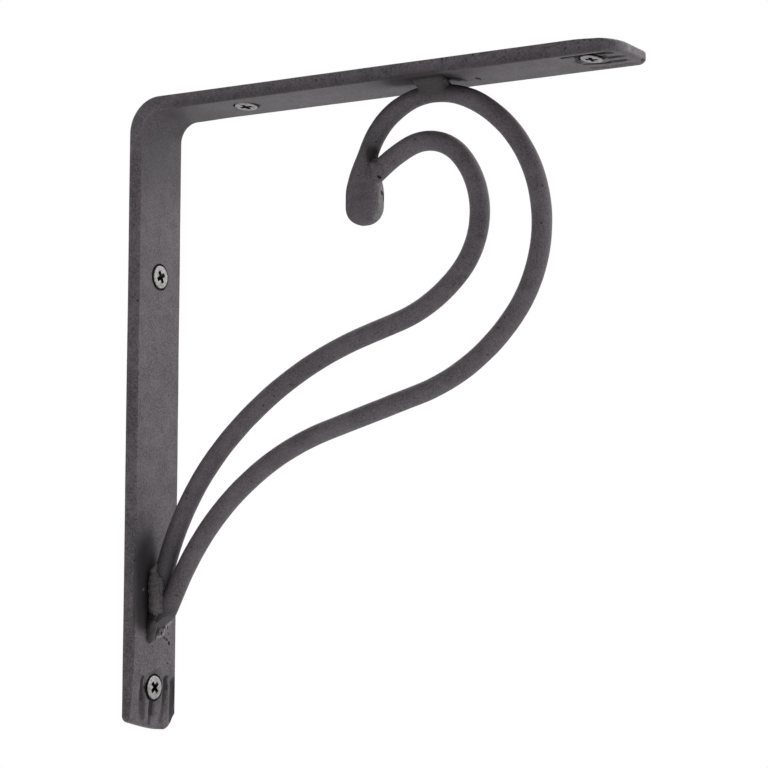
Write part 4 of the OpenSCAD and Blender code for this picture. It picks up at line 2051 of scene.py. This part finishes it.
class ScrewScatter(PieceTree):
    """A geometry tree that puts a screw at each seat."""

    def __init__(self) -> None:
        """Builds the tree."""
        super().__init__("screw_scatter", Screw="Object", Size="Float")

    def _form(self, g: Graph, given: bpy.types.NodeOutputs) -> bpy.types.NodeSocket:
        """Puts the screw on points, each with its own turn and size.

        Args:
            g: The tree's graph.
            given: The tree's inputs.

        Returns:
            The screws.
        """
        screw = g.add("GeometryNodeObjectInfo", {}, {"Object": given["Screw"]})
        turn = {"Euler": g.stored("turn", "FLOAT_VECTOR")}
        inputs = {
            "Points": g.add("GeometryNodeMeshToPoints", {}, {"Mesh": given["Start"]}).outputs[0],
            "Instance": screw.outputs["Geometry"],
            "Rotation": g.add("FunctionNodeEulerToRotation", {}, turn).outputs[0],
            "Scale": g.vector("MULTIPLY", g.stored("size"), given["Size"]),
        }
        return g.add("GeometryNodeInstanceOnPoints", {}, inputs).outputs[0]

    def place(
        self,
        name: str,
        screw: bpy.types.Object,
        seats: Sequence[Seat],
        material: bpy.types.Material,
    ) -> bpy.types.Object:
        """Puts a screw at each seat.

        Args:
            name: The piece's name.
            screw: The screw.
            seats: The seats.
            material: The finish.

        Returns:
            The screws as one plain mesh.
        """
        mesh = bpy.data.meshes.new(name)
        mesh.from_pydata([tuple(c * MM for c in s.place) for s in seats], [], [])
        turns = []
        for seat in seats:
            stand = Vector((0, 0, 1)).rotation_difference(Vector(seat.out)).to_matrix()
            spin = Matrix.Rotation(math.radians(seat.turn), 3, "Z")
            turns.append(tuple((stand @ spin).to_euler()))
        store(mesh, "turn", turns)
        store(mesh, "size", [seat.size for seat in seats])
        return self.grow(name, mesh, material, Screw=screw, Size=1.0)


# ---- Studio ----


@dataclass
class Studio:
    """A pale floor, soft light and the camera."""

    eye: Point = (531.6, -705.2, -50.6)
    yaw: float = 31.34
    pitch: float = 5.65
    roll: float = 0.20
    lens: float = 112.5
    floor: float = -320.0
    floor_size: float = 12000.0
    floor_grey: float = 0.72
    lamp_place: Point = (300, 500, 1500)
    lamp_aim: Point = (60, 0, 20)
    lamp_size: float = 1200.0
    lamp_power: float = 8.0
    dim: float = 0.40
    bright: float = 1.68
    beyond: tuple[float, float] = (-0.5, 0.5)

    def build(self) -> None:
        """Builds the floor, the light and the camera."""
        self._camera()
        self._world()
        self._floor()
        self._lamp()
        LOG.info("studio built")

    def _camera(self) -> None:
        """Adds the camera and makes it the scene's."""
        a, e, r = (math.radians(v) for v in (self.yaw, self.pitch, self.roll))
        forward = Vector((-math.sin(a) * math.cos(e), math.cos(a) * math.cos(e), math.sin(e)))
        right = Vector((math.cos(a), math.sin(a), 0.0))
        up = right.cross(forward)
        rolled = right * math.cos(r) + up * math.sin(r)
        upright = up * math.cos(r) - right * math.sin(r)
        data = bpy.data.cameras.new("camera")
        data.lens = self.lens
        data.sensor_width = 36.0
        data.clip_start = 0.01
        data.clip_end = 50.0
        camera = link_up("camera", data)
        turn = Matrix((rolled, upright, -forward)).transposed()
        camera.matrix_world = Matrix.Translation(Vector(self.eye) * MM) @ turn.to_4x4()
        bpy.context.scene.camera = camera

    def _seen(self, g: Graph) -> Signal:
        """1 for rays that show the background: camera and transmission rays."""
        path = g.add("ShaderNodeLightPath")
        return g.signal(path, "Is Camera Ray").most(g.signal(path, "Is Transmission Ray"))

    def _world(self) -> None:
        """White behind the object. Its light is dim from the near side and bright from beyond."""
        world = bpy.data.worlds.new("studio_world")
        world.use_nodes = True
        bpy.context.scene.world = world
        g = Graph(world.node_tree)
        seen = self._seen(g)
        way = g.add("ShaderNodeTexCoord").outputs["Generated"]
        far = g.signal(g.add("ShaderNodeSeparateXYZ", {}, {0: way}), "Y").ramp(*self.beyond)
        light = far * (self.bright - self.dim) + self.dim
        strength = seen + (1 - seen) * light
        sky = g.add(
            "ShaderNodeBackground", {}, {"Color": (1.0, 1.0, 1.0, 1.0), "Strength": strength}
        )
        g.add("ShaderNodeOutputWorld", {}, {"Surface": sky.outputs[0]})

    def _floor(self) -> None:
        """A pale floor below the object, plain white to the camera."""
        half = self.floor_size / 2
        ends = ((-half, -half), (half, -half), (half, half), (-half, half))
        corners = [(x, y, self.floor) for x, y in ends]
        floor = new_piece("studio_floor", corners, [(0, 1, 2, 3)])
        material, g = blank_material("pale_floor")
        matt = g.add("ShaderNodeBsdfDiffuse", {}, {"Color": (*[self.floor_grey] * 3, 1.0)})
        glow = g.add("ShaderNodeEmission", {}, {"Color": (1, 1, 1, 1), "Strength": 1.0})
        mixed = g.add(
            "ShaderNodeMixShader", {}, {0: self._seen(g), 1: matt.outputs[0], 2: glow.outputs[0]}
        )
        g.add("ShaderNodeOutputMaterial", {}, {"Surface": mixed.outputs[0]})
        floor.data.materials.append(material)

    def _lamp(self) -> None:
        """Adds one soft square lamp high above the bracket."""
        data = bpy.data.lights.new("top_light", "AREA")
        data.shape = "SQUARE"
        data.size = self.lamp_size * MM
        data.energy = self.lamp_power
        lamp = link_up("top_light", data)
        lamp.location = Vector(self.lamp_place) * MM
        away = Vector(self.lamp_place) - Vector(self.lamp_aim)
        lamp.rotation_euler = away.to_track_quat("Z", "Y").to_euler()


# ---- The whole bracket ----


BAR_MARKS = (
    Mark((132.3, -12.4, 139.0), (0.45, 1.0, 1.5), strength=0.5),
    Mark((134.0, -12.4, 139.2), (0.35, 1.0, 1.1), strength=0.45),
    Mark((138.0, 2.5, 134.6), (1.0, 2.3, 1.0)),
    Mark((5.4, -7.6, -39.4), (1.0, 0.65, 0.65), dark=False, strength=0.8),
    Mark((5.4, 3.5, -55.1), (1.0, 0.6, 0.6)),
    Mark((5.4, 7.3, -53.1), (1.0, 0.35, 0.6)),
    Mark((5.4, 5.4, -56.8), (1.0, 0.9, 0.6), strength=0.6),
    Mark((5.4, 6.8, -57.5), (1.0, 0.9, 0.6), strength=0.75),
    Mark((5.4, 8.2, -58.8), (1.0, 0.8, 0.8)),
    Mark((5.4, 7.9, -55.3), (1.0, 0.6, 0.4), strength=0.5),
    # Painted shadow in the crevice under the outer rod's foot.
    Mark((5.4, 4.3, -50.9), (1.0, 0.8, 1.6), strength=0.85),
    Mark((5.4, -2.0, -59.9), (1.0, 1.1, 0.35), strength=0.5),
    Mark((5.4, 9.3, -51.2), (1.0, 0.9, 0.4), dark=False),
    Mark((5.4, 7.9, -51.9), (1.0, 0.7, 0.5), dark=False),
    Mark((5.4, 6.6, -52.8), (1.0, 0.4, 0.8), dark=False),
    Mark((5.4, 5.6, -54.2), (1.0, 0.4, 0.9), dark=False),
    Mark((5.4, 4.8, -55.5), (1.0, 0.5, 0.6), dark=False),
    Mark((5.4, 2.7, -56.4), (1.0, 1.0, 0.4), dark=False),
    Mark((5.4, 1.1, -56.7), (1.0, 1.0, 0.7), dark=False, strength=0.5),
    Mark((195.9, -12.4, 135.3), (1.2, 0.6, 0.35), strength=0.8),
    Mark((197.8, -3.2, 137.0), (1.3, 1.3, 1.4), dark=False, strength=0.4),
    Mark((197.9, 1.6, 136.6), (1.0, 1.0, 0.9), dark=False, strength=0.3),
    Mark((197.8, 7.8, 135.2), (1.0, 1.2, 0.9), strength=0.6),
    # Painted highlights on the ridges beside the leg's grooves.
    Mark((5.0, 9.25, -76.5), (1.6, 0.32, 4.2), dark=False, strength=0.7),
    Mark((5.0, -5.75, -73.9), (1.6, 0.25, 2.8), dark=False, strength=0.5),
    Mark((5.4, 7.4, -66.1), (1.0, 0.5, 0.45), strength=0.7),
)
ROD_MARKS = (
    Mark((100.9, -1.2, 103.6), (0.9, 1.6, 0.8)),
    Mark((100.9, 0.2, 98.0), (0.8, 0.8, 1.0)),
    Mark((100.9, 1.6, 96.6), (0.8, 0.8, 1.8)),
    Mark((100.4, -1.8, 100.9), (0.6, 0.5, 0.6), dark=False),
    Mark((100.5, -1.6, 95.0), (0.6, 0.4, 0.9), dark=False),
    Mark((100.6, -0.9, 97.0), (0.6, 0.4, 0.5), dark=False),
)
WELD_MARKS = (
    # Painted shadow in a hollow of the foot weld.
    Mark((7.0, -5.2, -49.3), (2.3, 2.5, 1.8), strength=0.85),
    Mark((7.0, -4.6, -52.2), (0.5, 1.0, 0.4), dark=False, strength=0.5),
)
IRON = IronFinish(
    "forged_iron",
    deep=(0.052, 0.044, 0.0495),
    body=(0.099, 0.085, 0.0955),
    bright=(0.141, 0.124, 0.138),
    bare_and_highlight=(0.235, 0.222, 0.225),
)
WELD_IRON = IronFinish(
    "weld_metal",
    deep=(0.045, 0.037, 0.041),
    body=(0.080, 0.069, 0.076),
    bright=(0.125, 0.110, 0.119),
    bare_and_highlight=(0.21, 0.20, 0.20),
    roughness=0.55,
    grain_height=0.08,
)
ZINC = SteelFinish("zinc_steel", body=(0.36, 0.345, 0.345), dark=(0.17, 0.16, 0.16))


def main() -> None:
    """Builds every piece in order."""
    bpy.context.scene.view_settings.view_transform = "Standard"
    bar_iron = replace(IRON, name="bar_iron", marks=BAR_MARKS).build()
    rod_iron = replace(IRON, name="rod_iron", spread=0.13, marks=ROD_MARKS).build()
    weld_iron = replace(WELD_IRON, marks=WELD_MARKS).build()
    zinc = ZINC.build()
    screws = ScrewSets()
    AngleBar().build(bar_iron, screws)
    ScrollRods().build(RodSweep(), rod_iron)
    Welds().build(BeadRun(), weld_iron)
    screws.build(zinc)
    Studio().build()


if __name__ == "__main__":
    main()
